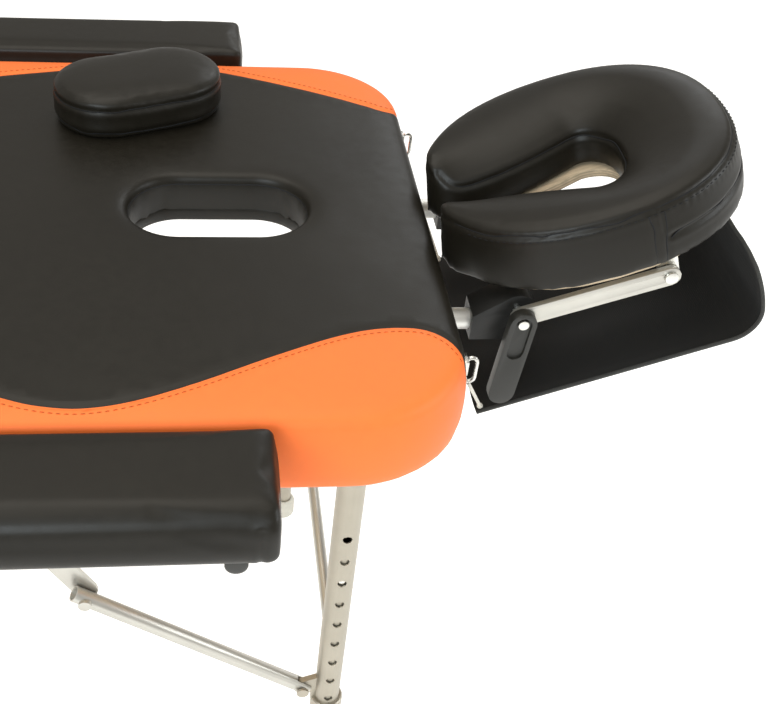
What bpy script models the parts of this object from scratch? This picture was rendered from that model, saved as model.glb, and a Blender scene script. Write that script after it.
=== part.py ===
"""Folding two-section massage table with aluminium legs, armrests, face hole, headrest and arm sling.

Metres, +Z up. The floor is Z = 0, +X points to the head end and -Y is the near side.
Inside each half, lengths run from the leg's pivot towards the table's middle.
"""

import math

import bmesh
import bpy
from mathutils import Matrix, Vector

# Table top
TABLE_LENGTH = 1.86
TABLE_WIDTH = 0.60
TABLE_HEIGHT = 0.70
MIDDLE_GAP = 0.003
PAD_DEPTH = 0.0745
FOAM_DEPTH = 0.041
SKIRT_WALL = 0.012
PAD_CORNER = 0.103
MIDDLE_CORNER = 0.012
PANEL_THICKNESS = 0.009
RAIL_WIDTH = 0.022
RAIL_HEIGHT = 0.027
END_RAIL_WIDTH = 0.040
END_RAIL_EDGE = 0.110
CENTRE_RAIL_WIDTH = 0.026
FACE_HOLE_LENGTH = 0.168
FACE_HOLE_WIDTH = 0.097
FACE_HOLE_INSET = 0.202
FACE_HOLE_RIM = 0.010

# Clearances
TOUCH = 0.0003
PLAY = 0.0004
SIDE_PLAY = 0.0007

# Middle hinge
HINGE_DEPTH = 0.120
LEAF_THICKNESS = 0.003
LEAF_WIDTH = 0.036
KNUCKLE_RADIUS = 0.005
HINGE_PIN_RADIUS = 0.0025
KNUCKLES = 5

# Legs
LEG_INSET = 0.093
HEAD_LEG_EDGE = 0.053
FOOT_LEG_EDGE = 0.100
LEG_PIVOT_DEPTH = 0.100
LEG_RADIUS = 0.0125
LEG_WALL = 0.0013
LEG_HEADROOM = 0.014
LEG_PIN_RADIUS = 0.004
COLLAR_RADIUS = 0.016
COLLAR_DROP = 0.331
COLLAR_LENGTH = 0.034
HOLE_PITCH = 0.030
HOLE_COUNT = 9
HOLE_RADIUS = 0.0045
FIRST_HOLE_DROP = 0.082
BUTTON_HOLE = 3
BUTTON_RADIUS = 0.0038
BUTTON_LENGTH = 0.008
CROSSBAR_DROP = 0.255
CROSSBAR_RADIUS = 0.006
INNER_PLAY = 0.0009
INNER_WALL = 0.0015
INNER_OVERLAP = 0.045
FOOT_RADIUS = 0.016
FOOT_HEIGHT = 0.032
FOOT_SOLE = 0.006

# Folding struts and hangers
STRUT_RADIUS = 0.0075
STRUT_WALL = 0.0014
STRUT_PIN_INSET = 0.026
STRUT_PIN_DROP = 0.315
STRUT_PIN_RADIUS = 0.003
KNEE_INSET = 0.232
KNEE_DROP = 0.166
KNEE_OVERHANG = 0.012
EAR_THICKNESS = 0.006
EAR_RADIUS = 0.009
HANGER_THICKNESS = 0.004
HANGER_HALF_WIDTH = 0.011
PLATE_THICKNESS = 0.003
CHEEK_THICKNESS = 0.003
CHEEK_HALF_WIDTH = 0.012
BOLT_HEAD_RADIUS = 0.006
BOLT_HEAD_HEIGHT = 0.0025

# Armrests
ARMREST_START = 0.169
ARMREST_LENGTH = 0.56
ARMREST_WIDTH = 0.096
ARMREST_DEPTH = 0.0467
ARMREST_RISE = 0.004
ARMREST_GAP = 0.006
ARM_TUBE_RADIUS = 0.008
ARM_TUBE_DEPTH = 0.0655
ARM_TUBE_INSET = 0.028
ARM_TUBE_REACH = 0.261
ARM_TUBE_SHORT = 0.021
ARM_STRIP_WIDTH = 0.040
ARM_STRIP_THICKNESS = 0.004
ARM_POST_WIDTH = 0.030

# Face-hole plug, lying on the pad
PLUG_LENGTH = 0.176
PLUG_WIDTH = 0.110
PLUG_HEIGHT = 0.045
PLUG_INSET = 0.2826
PLUG_EDGE = 0.1252
PLUG_TURN = math.radians(22)

# Headrest frame
ROD_OFFSET = 0.093
ROD_RADIUS = 0.010
ROD_DEPTH = 0.0655
ROD_LENGTH = 0.233
ROD_REACH = 0.058
PIVOT_REACH = 0.070
PIVOT_DEPTH = 0.0445
CRADLE_TILT = math.radians(20)
CLAMP_WIDTH = 0.033
CLAMP_ROUND = 0.016
CLAMP_BACK = 0.041
CROSS_PIN_RADIUS = 0.005
ARM_OFFSET = 0.118
ARM_THICKNESS = 0.006
ARM_HALF_HEIGHT = 0.0095
ARM_LENGTH = 0.1375
ARM_BOLT_RADIUS = 0.004
LEVER_THICKNESS = 0.010
LEVER_HALF_WIDTH = 0.0125
LEVER_LENGTH = 0.082
LEVER_LEAN = math.radians(5)
LEVER_POCKET = 0.032
LEVER_POCKET_DEPTH = 0.0035

# Headrest platform, cushion and arm sling
PLATFORM_LIFT = 0.0187
PLATFORM_THICKNESS = 0.009
PLATFORM_INSET = 0.007
CUSHION_CENTRE = 0.092
CUSHION_HALF_LENGTH = 0.137
CUSHION_HALF_WIDTH = 0.132
CUSHION_POWER = 2.31
CUSHION_HEIGHT = 0.062
OPENING_CENTRE = 0.100
OPENING_HALF_WIDTH = 0.046
OPENING_END = 0.134
MOUTH_HALF_WIDTH = 0.008
PLATFORM_OPENING_HALF_WIDTH = 0.036
PLATFORM_MOUTH_HALF_WIDTH = 0.014
SLING_HALF_WIDTH = 0.125
SLING_THICKNESS = 0.003
SLING_START = 0.0445
SLING_DEPTH = 0.156
SLING_SLOPE = math.radians(21)
SLING_RUN = 0.232
SLING_CURL = 0.036
SLING_LIP = 0.028
SLING_SAG = 0.012
STRAP_WIDTH = 0.030
STRAP_THICKNESS = 0.002
CLIP_EDGE = 0.110
CLIP_DEPTH = 0.030
CLIP_WIRE = 0.0018
CLIP_LENGTH = 0.030
CLIP_WIDTH = 0.013
TIE_RADIUS = 0.0016

HALF_LENGTH = TABLE_LENGTH / 2
HALF_WIDTH = TABLE_WIDTH / 2
HEAD_LEG_OFFSET = HALF_WIDTH - HEAD_LEG_EDGE
FOOT_LEG_OFFSET = HALF_WIDTH - FOOT_LEG_EDGE
PLUG_OFFSET = HALF_WIDTH - PLUG_EDGE
CLIP_OFFSET = HALF_WIDTH - CLIP_EDGE
LEG_BORE = LEG_RADIUS - LEG_WALL
INNER_RADIUS = LEG_BORE - INNER_PLAY
PANEL_TOP = -FOAM_DEPTH - TOUCH
PANEL_BOTTOM = PANEL_TOP - PANEL_THICKNESS
SEAT = PANEL_BOTTOM - TOUCH
HANGER_OFFSET = STRUT_RADIUS + SIDE_PLAY

FINISHES = {
    "black_vinyl": ((0.012, 0.012, 0.013), 0.45, 0.0),
    "plywood": ((0.62, 0.44, 0.27), 0.6, 0.0),
    "wood": ((0.45, 0.29, 0.15), 0.65, 0.0),
    "aluminium": ((0.78, 0.77, 0.73), 0.38, 1.0),
    "steel": ((0.55, 0.55, 0.56), 0.35, 1.0),
    "black_plastic": ((0.015, 0.015, 0.016), 0.5, 0.0),
    "pale_rubber": ((0.60, 0.59, 0.56), 0.7, 0.0),
    "black_fabric": ((0.014, 0.014, 0.015), 0.85, 0.0),
}

for old in list(bpy.data.objects):
    bpy.data.objects.remove(old)

PARTS = bpy.data.collections.new("folding_massage_table")
CUTTERS = bpy.data.collections.new("cutters")
for collection in (PARTS, CUTTERS):
    bpy.context.scene.collection.children.link(collection)


def finish(obj, look):
    """Gives the object its own Principled material."""
    colour, roughness, metallic = FINISHES[look]
    material = bpy.data.materials.new(obj.name + "_finish")
    material.use_nodes = True
    shader = material.node_tree.nodes["Principled BSDF"]
    shader.inputs["Base Color"].default_value = (*colour, 1)
    shader.inputs["Roughness"].default_value = roughness
    shader.inputs["Metallic"].default_value = metallic
    obj.data.materials.append(material)


def make(name, mesh, smooth=True):
    """A mesh object in the parts collection."""
    if smooth:
        mesh.shade_smooth()
        mesh.set_sharp_from_angle(angle=math.radians(35))
    obj = bpy.data.objects.new(name, mesh)
    PARTS.objects.link(obj)
    return obj


def from_bmesh(name, shape):
    bmesh.ops.recalc_face_normals(shape, faces=shape.faces)
    mesh = bpy.data.meshes.new(name)
    shape.to_mesh(mesh)
    shape.free()
    return make(name, mesh)


def joint(name, place):
    """An empty on a joint's axis, the parent of what moves there."""
    empty = bpy.data.objects.new(name, None)
    empty.location = place
    empty.empty_display_size = 0.03
    PARTS.objects.link(empty)
    return empty


def carry(obj, empty):
    """Parents the object to a joint's empty and leaves it where it is."""
    obj.parent = empty
    obj.matrix_parent_inverse = Matrix.Translation(empty.location).inverted()


def helper(obj):
    """Moves an operand out of the parts."""
    PARTS.objects.unlink(obj)
    CUTTERS.objects.link(obj)
    obj.hide_render = True
    obj.display_type = "WIRE"


def combine(obj, other, operation):
    helper(other)
    modifier = obj.modifiers.new(other.name, "BOOLEAN")
    modifier.operation = operation
    modifier.object = other
    modifier.solver = "EXACT"


def cut(obj, other):
    combine(obj, other, "DIFFERENCE")


def fuse(obj, other):
    combine(obj, other, "UNION")


def along(start, end):
    """The matrix that puts local Z on the line from start to end, with its origin at start."""
    start = Vector(start)
    turn = (Vector(end) - start).to_track_quat("Z", "Y").to_matrix().to_4x4()
    return Matrix.Translation(start) @ turn


def bar(name, start, end, radius, sides=20):
    """A solid round bar."""
    shape = bmesh.new()
    length = (Vector(end) - Vector(start)).length
    place = along(start, end) @ Matrix.Translation((0, 0, length / 2))
    bmesh.ops.create_cone(
        shape, cap_ends=True, segments=sides, radius1=radius, radius2=radius, depth=length, matrix=place
    )
    return from_bmesh(name, shape)


def block(name, low, high):
    """A box from its two opposite corners, given in either order."""
    shape = bmesh.new()
    low, high = Vector(low), Vector(high)
    size = Vector(abs(b - a) for a, b in zip(low, high))
    bmesh.ops.create_cube(shape, matrix=Matrix.Translation((low + high) / 2) @ Matrix.Diagonal((*size, 1)))
    return from_bmesh(name, shape)


def turned(name, profile, place, sides=24):
    """A profile of (radius, height) points turned about local Z, closed if it doesn't meet the axis."""
    mesh = bpy.data.meshes.new(name)
    edges = [(i, i + 1) for i in range(len(profile) - 1)]
    if profile[0][0] > 0:
        edges.append((len(profile) - 1, 0))
    mesh.from_pydata([(r, 0, z) for r, z in profile], edges, [])
    obj = make(name, mesh, smooth=False)
    obj.matrix_world = place
    screw = obj.modifiers.new("turn", "SCREW")
    screw.steps = screw.render_steps = sides
    screw.use_merge_vertices = True
    screw.merge_threshold = 0.00005
    screw.use_smooth_shade = False
    return obj


def pipe(name, start, end, radius, bore, sides=24):
    """A round tube, open at both ends."""
    length = (Vector(end) - Vector(start)).length
    return turned(name, [(radius, length), (radius, 0), (bore, 0), (bore, length)], along(start, end), sides)


def plate(name, outlines, thickness, place):
    """A flat outline, with any holes after it, extruded both ways from local XY and made a mesh."""
    curve = bpy.data.curves.new(name, "CURVE")
    curve.dimensions = "2D"
    curve.fill_mode = "BOTH"
    curve.extrude = thickness / 2
    for outline in outlines:
        spline = curve.splines.new("POLY")
        spline.points.add(len(outline) - 1)
        for point, (x, y) in zip(spline.points, outline):
            point.co = (x, y, 0, 1)
        spline.use_cyclic_u = True
    guide = bpy.data.objects.new(name + "_outline", curve)
    PARTS.objects.link(guide)
    bpy.context.view_layer.update()
    mesh = bpy.data.meshes.new_from_object(guide.evaluated_get(bpy.context.evaluated_depsgraph_get()))
    bpy.data.objects.remove(guide)
    shape = bmesh.new()
    shape.from_mesh(mesh)
    bmesh.ops.remove_doubles(shape, verts=shape.verts, dist=0.00001)
    obj = from_bmesh(name, shape)
    obj.matrix_world = place
    return obj


def loft(name, rings, closed=False):
    """Skins rings of equal counts, with a flat cap at each end unless the rings close on themselves."""
    shape = bmesh.new()
    skins = [[shape.verts.new(point) for point in ring] for ring in rings]
    count = len(rings[0])
    pairs = list(zip(skins, skins[1:]))
    if closed:
        pairs.append((skins[-1], skins[0]))
    for first, second in pairs:
        for i in range(count):
            j = (i + 1) % count
            shape.faces.new((first[i], first[j], second[j], second[i]))
    if not closed:
        shape.faces.new(skins[0])
        shape.faces.new(skins[-1])
    return from_bmesh(name, shape)


def arc(centre, radius, start, end, count):
    """Points on an arc, both ends included."""
    angles = [start + (end - start) * i / (count - 1) for i in range(count)]
    return [(centre[0] + radius * math.cos(a), centre[1] + radius * math.sin(a)) for a in angles]


def obround(length, width, count=9):
    """A stadium along X, centred on the origin."""
    reach, radius = (length - width) / 2, width / 2
    right = arc((reach, 0), radius, -math.pi / 2, math.pi / 2, count)
    left = arc((-reach, 0), radius, math.pi / 2, 3 * math.pi / 2, count)
    return right + left


def link_outline(start, end, radius, count=7):
    """A flat link with round ends between two points."""
    lean = math.atan2(end[1] - start[1], end[0] - start[0])
    quarter = math.pi / 2
    far = arc(end, radius, lean - quarter, lean + quarter, count)
    near = arc(start, radius, lean + quarter, lean + 3 * quarter, count)
    return far + near


def circle(centre, radius, count=16):
    return [
        (centre[0] + radius * math.cos(2 * math.pi * i / count), centre[1] + radius * math.sin(2 * math.pi * i / count))
        for i in range(count)
    ]


def rounded_box(x_low, x_high, half_width, low_radius, high_radius, inset, low_count, high_count):
    """A rectangle's outline with its own corner radius at each end, drawn in by inset."""
    low, high, side = x_low + inset, x_high - inset, half_width - inset
    a = max(low_radius - inset, 0.002)
    b = max(high_radius - inset, 0.002)
    half = math.pi / 2
    return (
        arc((high - b, side - b), b, 0, half, high_count)
        + arc((low + a, side - a), a, half, 2 * half, low_count)
        + arc((low + a, a - side), a, 2 * half, 3 * half, low_count)
        + arc((high - b, b - side), b, 3 * half, 4 * half, high_count)
    )


def raised(outline, z):
    return [(x, y, z) for x, y in outline]


def upright(x, y, z):
    """The matrix that stands a flat outline up: its X stays X, its Y becomes Z, and it faces the near side."""
    return Matrix.Translation((x, y, z)) @ Matrix.Rotation(math.pi / 2, 4, "X")


# The sling's side view, from the table outwards: a straight run, a curl and a lip
def sling_line():
    points = []
    x, z = SLING_START, -SLING_DEPTH
    for i in range(8):
        share = i / 7
        points.append((x + SLING_RUN * share * math.cos(SLING_SLOPE), z + SLING_RUN * share * math.sin(SLING_SLOPE)))
    x, z = points[-1]
    steep = math.radians(98)
    for i in range(1, 7):
        turn = SLING_SLOPE + (steep - SLING_SLOPE) * i / 6
        points.append(
            (
                x + SLING_CURL * (math.sin(turn) - math.sin(SLING_SLOPE)),
                z + SLING_CURL * (math.cos(SLING_SLOPE) - math.cos(turn)),
            )
        )
    x, z = points[-1]
    for i in range(1, 4):
        points.append((x + SLING_LIP * i / 3 * math.cos(steep), z + SLING_LIP * i / 3 * math.sin(steep)))
    return points


CRADLE_REACH = max(x for x, z in sling_line()) + SLING_THICKNESS / 2
MIDDLE_X = -CRADLE_REACH / 2
HEAD_X = MIDDLE_X + HALF_LENGTH


def spot(x, y, z):
    """A point measured from the middle of the pad's head edge: x beyond it, y across, z above the pad's top."""
    return Vector((HEAD_X + x, y, TABLE_HEIGHT + z))


def leg_x(end):
    return MIDDLE_X + end * (HALF_LENGTH - LEG_INSET)


def leg_offset(end):
    return HEAD_LEG_OFFSET if end > 0 else FOOT_LEG_OFFSET


def linkage(end, y, inward, rise):
    """A point of the folding linkage: inward from the leg's pivot towards the middle, and above the pivot."""
    return Vector((leg_x(end) - end * inward, y, TABLE_HEIGHT - LEG_PIVOT_DEPTH + rise))


# The hanger's pivot is as far from the knee in use as from the knee folded flat beside the leg
STRUT_LENGTH = math.hypot(KNEE_INSET - STRUT_PIN_INSET, STRUT_PIN_DROP - KNEE_DROP)
FOLDED_KNEE = STRUT_PIN_DROP + STRUT_LENGTH
HANGER_RISE = STRUT_PIN_INSET
HANGER_INSET = (FOLDED_KNEE**2 - KNEE_INSET**2 - (HANGER_RISE + KNEE_DROP) ** 2) / (2 * (FOLDED_KNEE - KNEE_INSET))


def build_pad(name, end):
    """An upholstered half: crowned foam with a skirt round the panel below."""
    low, high = sorted((MIDDLE_X + end * MIDDLE_GAP / 2, MIDDLE_X + end * HALF_LENGTH))
    corners = (MIDDLE_CORNER, PAD_CORNER) if end > 0 else (PAD_CORNER, MIDDLE_CORNER)
    counts = (3, 9) if end > 0 else (9, 3)
    profile = (
        (SKIRT_WALL, -FOAM_DEPTH),
        (SKIRT_WALL, -PAD_DEPTH),
        (0.004, -PAD_DEPTH),
        (0.0008, -PAD_DEPTH + 0.005),
        (0.0, -PAD_DEPTH + 0.024),
        (0.0010, -0.026),
        (0.0032, -0.0135),
        (0.0075, -0.0065),
        (0.0150, -0.0026),
        (0.0400, -0.0008),
        (0.0900, 0.0),
    )
    rings = [
        raised(rounded_box(low, high, HALF_WIDTH, *corners, inset, *counts), TABLE_HEIGHT + z)
        for inset, z in profile
    ]
    pad = loft(name, rings)
    finish(pad, "black_vinyl")
    return pad


def build_panel(name, end, holes):
    low, high = sorted((MIDDLE_X + end * MIDDLE_GAP / 2, MIDDLE_X + end * HALF_LENGTH))
    corners = (MIDDLE_CORNER, PAD_CORNER) if end > 0 else (PAD_CORNER, MIDDLE_CORNER)
    counts = (3, 9) if end > 0 else (9, 3)
    outline = rounded_box(low, high, HALF_WIDTH, *corners, SKIRT_WALL + TOUCH, *counts)
    middle = TABLE_HEIGHT + PANEL_TOP - PANEL_THICKNESS / 2
    panel = plate(name, [outline, *holes], PANEL_THICKNESS, Matrix.Translation((0, 0, middle)))
    finish(panel, "plywood")
    return panel


def build_centre_rail(name, end):
    """The rail beside the middle joint, with its hinge leaf and every other knuckle."""
    inner = MIDDLE_X + end * (MIDDLE_GAP / 2 + SKIRT_WALL + TOUCH)
    half_span = HALF_WIDTH - SKIRT_WALL - MIDDLE_CORNER
    axis = TABLE_HEIGHT - HINGE_DEPTH
    leaf_low, leaf_high = axis + SIDE_PLAY, axis + SIDE_PLAY + LEAF_THICKNESS
    rail = block(
        name,
        (inner, -half_span, leaf_high - LEAF_THICKNESS / 2),
        (inner + end * CENTRE_RAIL_WIDTH, half_span, TABLE_HEIGHT + SEAT),
    )
    leaf_start = MIDDLE_X + end * (KNUCKLE_RADIUS + SIDE_PLAY)
    leaf = block(
        name + "_leaf", (leaf_start, -half_span, leaf_low), (leaf_start + end * LEAF_WIDTH, half_span, leaf_high)
    )
    fuse(rail, leaf)
    pitch = 2 * half_span / KNUCKLES
    first = 0 if end > 0 else 1
    for i in range(first, KNUCKLES, 2):
        y = -half_span + i * pitch
        tongue = block(
            f"{name}_tongue_{i}",
            (MIDDLE_X, y + SIDE_PLAY, leaf_low),
            (leaf_start + end * 0.004, y + pitch - SIDE_PLAY, leaf_high),
        )
        knuckle = bar(
            f"{name}_knuckle_{i}",
            (MIDDLE_X, y + SIDE_PLAY, axis),
            (MIDDLE_X, y + pitch - SIDE_PLAY, axis),
            KNUCKLE_RADIUS,
            12,
        )
        fuse(rail, tongue)
        fuse(rail, knuckle)
    pin_ends = ((MIDDLE_X, -half_span - 0.002, axis), (MIDDLE_X, half_span + 0.002, axis))
    if end > 0:
        fuse(rail, bar(name + "_pin", *pin_ends, HINGE_PIN_RADIUS, 12))
    else:
        cut(rail, bar(name + "_pin_bore", *pin_ends, HINGE_PIN_RADIUS + PLAY, 12))
    finish(rail, "aluminium")
    return rail


def build_leg_plate(name, end, side):
    """The plate under the panel: two cheeks and a pin for the leg, and an ear and a pin for the hanger."""
    y = side * leg_offset(end)
    seat = TABLE_HEIGHT + SEAT
    under = seat - PLATE_THICKNESS
    pivot = linkage(end, y, 0, 0)
    hang = linkage(end, y, HANGER_INSET, HANGER_RISE)
    cheek_in = LEG_RADIUS + SIDE_PLAY
    cheek_out = cheek_in + CHEEK_THICKNESS
    ear_near = STRUT_RADIUS + SIDE_PLAY + HANGER_THICKNESS + 0.005
    ear_far = ear_near + CHEEK_THICKNESS
    outer, inner = y + side * cheek_out, y - side * ear_far
    body = block(
        name,
        (linkage(end, y, -CHEEK_HALF_WIDTH - 0.004, 0).x, outer, under),
        (linkage(end, y, HANGER_INSET + CHEEK_HALF_WIDTH + 0.004, 0).x, inner, seat),
    )
    drop = pivot.z - under
    for k in (-1, 1):
        face = Matrix.Translation((pivot.x, y + k * (cheek_in + CHEEK_THICKNESS / 2), pivot.z))
        outline = arc((0, 0), CHEEK_HALF_WIDTH, math.pi, 2 * math.pi, 9)
        outline += [(CHEEK_HALF_WIDTH, -drop + PLATE_THICKNESS / 2), (-CHEEK_HALF_WIDTH, -drop + PLATE_THICKNESS / 2)]
        cheek = plate(f"{name}_cheek_{k}", [outline], CHEEK_THICKNESS, face @ Matrix.Rotation(math.pi / 2, 4, "X"))
        fuse(body, cheek)
    reach = cheek_out + BOLT_HEAD_HEIGHT
    fuse(body, bar(name + "_pin", pivot - Vector((0, reach, 0)), pivot + Vector((0, reach, 0)), LEG_PIN_RADIUS, 12))
    rise = under + PLATE_THICKNESS / 2 - hang.z
    outline = arc((0, 0), HANGER_HALF_WIDTH, math.pi, 2 * math.pi, 9)
    outline += [(HANGER_HALF_WIDTH, rise), (-HANGER_HALF_WIDTH, rise)]
    ear = plate(
        name + "_ear",
        [outline],
        CHEEK_THICKNESS,
        upright(hang.x, y - side * (ear_near + CHEEK_THICKNESS / 2), hang.z),
    )
    fuse(body, ear)
    boss_end = HANGER_OFFSET + HANGER_THICKNESS + PLAY
    boss = bar(
        name + "_boss",
        (hang.x, y - side * (ear_near + CHEEK_THICKNESS / 2), hang.z),
        (hang.x, y - side * boss_end, hang.z),
        LEG_PIN_RADIUS + 0.003,
        12,
    )
    fuse(body, boss)
    pin = bar(
        name + "_hanger_pin",
        (hang.x, y - side * ear_near, hang.z),
        (hang.x, y - side * (HANGER_OFFSET + PLAY), hang.z),
        LEG_PIN_RADIUS,
        12,
    )
    fuse(body, pin)
    finish(body, "aluminium")
    return body


def build_leg(name, end, side):
    """A leg tube with its adjusting holes, and the collar and ear at its lower end."""
    y = side * leg_offset(end)
    pivot = linkage(end, y, 0, 0)
    top = LEG_HEADROOM
    collar_top, collar_low = -COLLAR_DROP, -COLLAR_DROP - COLLAR_LENGTH
    profile = [
        (LEG_RADIUS, top),
        (LEG_RADIUS, collar_top),
        (COLLAR_RADIUS - 0.0012, collar_top),
        (COLLAR_RADIUS, collar_top - 0.0012),
        (COLLAR_RADIUS, collar_low + 0.0012),
        (COLLAR_RADIUS - 0.0012, collar_low),
        (LEG_BORE, collar_low),
        (LEG_BORE, top),
    ]
    leg = turned(name, profile, Matrix.Translation(pivot) @ Matrix.Rotation(math.radians(4), 4, "Z"), 18)
    inner_edge = LEG_RADIUS - LEG_WALL / 3
    web = STRUT_PIN_INSET - STRUT_RADIUS - 0.002
    outline = [(inner_edge, collar_top - 0.006), (web, collar_top - 0.006), (web, -STRUT_PIN_DROP - EAR_RADIUS)]
    outline += arc((STRUT_PIN_INSET, -STRUT_PIN_DROP), EAR_RADIUS, -math.pi / 2, math.pi / 2, 8)
    outline += [(inner_edge, -STRUT_PIN_DROP + EAR_RADIUS + 0.006)]
    outline = [(-end * x, z) for x, z in outline]
    if end > 0:
        outline.reverse()
    ear = plate(name + "_ear", [outline], EAR_THICKNESS, upright(pivot.x, y, pivot.z))
    fuse(leg, ear)
    pin = linkage(end, y, STRUT_PIN_INSET, -STRUT_PIN_DROP)
    shank = STRUT_RADIUS + PLAY
    fuse(
        leg,
        bar(
            name + "_strut_pin",
            pin - Vector((0, side * STRUT_RADIUS, 0)),
            pin + Vector((0, side * (shank + BOLT_HEAD_HEIGHT / 2), 0)),
            STRUT_PIN_RADIUS,
            14,
        ),
    )
    fuse(
        leg,
        bar(
            name + "_strut_pin_head",
            pin + Vector((0, side * shank, 0)),
            pin + Vector((0, side * (shank + BOLT_HEAD_HEIGHT), 0)),
            BOLT_HEAD_RADIUS,
            14,
        ),
    )
    across = Vector((0, LEG_RADIUS + 0.005, 0))
    cut(leg, bar(name + "_pivot_bore", pivot - across, pivot + across, LEG_PIN_RADIUS + PLAY, 16))
    for i in range(HOLE_COUNT):
        z = pivot.z - FIRST_HOLE_DROP - i * HOLE_PITCH
        hole = bar(
            f"{name}_hole_{i + 1}",
            (pivot.x, y, z),
            (pivot.x, y + side * (LEG_RADIUS + 0.005), z),
            HOLE_RADIUS,
            8,
        )
        cut(leg, hole)
    finish(leg, "aluminium")
    return leg


def button_height():
    return TABLE_HEIGHT - LEG_PIVOT_DEPTH - FIRST_HOLE_DROP - (BUTTON_HOLE - 1) * HOLE_PITCH


def build_inner_leg(name, end, side):
    """The tube that slides in the leg, with the hole that holds its button."""
    x, y, z = leg_x(end), side * leg_offset(end), button_height()
    tube = pipe(
        name,
        (x, y, FOOT_SOLE + TOUCH),
        (x, y, z + INNER_OVERLAP),
        INNER_RADIUS,
        INNER_RADIUS - INNER_WALL,
        18,
    )
    bore = bar(name + "_button_bore", (x, y, z), (x, y + side * (INNER_RADIUS + 0.005), z), BUTTON_RADIUS + TOUCH, 14)
    cut(tube, bore)
    finish(tube, "aluminium")
    return tube


def build_button(name, end, side):
    x, y, z = leg_x(end), side * leg_offset(end), button_height()
    outer = INNER_RADIUS + INNER_PLAY / 2
    profile = [
        (0, BUTTON_LENGTH),
        (BUTTON_RADIUS * 0.45, BUTTON_LENGTH),
        (BUTTON_RADIUS, BUTTON_LENGTH - 0.0008),
        (BUTTON_RADIUS, 0),
        (0, 0),
    ]
    inner = Vector((x, y + side * (outer - BUTTON_LENGTH), z))
    button = turned(name, profile, along(inner, inner + Vector((0, side, 0))), 14)
    finish(button, "steel")
    return button


def build_foot(name, end, side):
    """A turned rubber foot, a cup for the inner tube."""
    bore = INNER_RADIUS + TOUCH
    profile = [
        (0, FOOT_SOLE),
        (bore, FOOT_SOLE),
        (bore, FOOT_HEIGHT),
        (FOOT_RADIUS - 0.003, FOOT_HEIGHT),
        (FOOT_RADIUS, FOOT_HEIGHT - 0.006),
        (FOOT_RADIUS, 0.005),
        (FOOT_RADIUS - 0.0015, 0.0015),
        (FOOT_RADIUS - 0.004, 0),
        (0, 0),
    ]
    foot = turned(name, profile, Matrix.Translation((leg_x(end), side * leg_offset(end), 0)), 18)
    finish(foot, "pale_rubber")
    return foot


def build_strut(name, end, side):
    """A tube forked over the leg's ear, with a bolt head at the knee and an open upper end."""
    y = side * leg_offset(end)
    pin = linkage(end, y, STRUT_PIN_INSET, -STRUT_PIN_DROP)
    knee = linkage(end, y, KNEE_INSET, -KNEE_DROP)
    run = (knee - pin).normalized()
    low_end = pin - run * (STRUT_RADIUS - 0.0005)
    tube = bar(name, low_end, knee + run * KNEE_OVERHANG, STRUT_RADIUS, 16)
    cut(
        tube,
        bar(
            name + "_bore",
            knee - run * 0.03,
            knee + run * (KNEE_OVERHANG + 0.005),
            STRUT_RADIUS - STRUT_WALL,
            16,
        ),
    )
    slot_length = EAR_RADIUS + 0.002
    slot = bmesh.new()
    place = along(pin - run * 0.012, knee) @ Matrix.Translation((0, 0, (slot_length + 0.012) / 2))
    size = (4 * STRUT_RADIUS, EAR_THICKNESS + 2 * PLAY, slot_length + 0.012)
    sideways = place.to_3x3().inverted() @ Vector((0, 1, 0))
    if abs(sideways.x) > abs(sideways.y):
        size = (size[1], size[0], size[2])
    bmesh.ops.create_cube(slot, matrix=place @ Matrix.Diagonal((*size, 1)))
    cut(tube, from_bmesh(name + "_slot", slot))
    across = Vector((0, 2 * STRUT_RADIUS, 0))
    cut(tube, bar(name + "_pin_bore", pin - across, pin + across, STRUT_PIN_RADIUS + PLAY, 14))
    face = Vector((0, side, 0))
    bolt = bar(
        name + "_bolt",
        knee + face * (STRUT_RADIUS - STRUT_WALL),
        knee + face * (STRUT_RADIUS + BOLT_HEAD_HEIGHT),
        BOLT_HEAD_RADIUS,
        12,
    )
    fuse(tube, bolt)
    finish(tube, "aluminium")
    return tube


def build_hanger(name, end, side):
    """The flat link from the knee up to the leg plate's ear."""
    y = side * leg_offset(end)
    hang = linkage(end, y, HANGER_INSET, HANGER_RISE)
    knee = linkage(end, y, KNEE_INSET, -KNEE_DROP)
    middle = HANGER_OFFSET + HANGER_THICKNESS / 2
    knee_at = (knee.x - hang.x, knee.z - hang.z)
    outlines = [link_outline((0, 0), knee_at, HANGER_HALF_WIDTH), circle((0, 0), LEG_PIN_RADIUS + PLAY)]
    link = plate(name, outlines, HANGER_THICKNESS, upright(hang.x, y - side * middle, hang.z))
    face = Vector((0, -side, 0))
    nut = bar(
        name + "_nut",
        knee + face * middle,
        knee + face * (HANGER_OFFSET + HANGER_THICKNESS + BOLT_HEAD_HEIGHT),
        BOLT_HEAD_RADIUS,
        6,
    )
    fuse(link, nut)
    finish(link, "aluminium")
    return link


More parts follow.
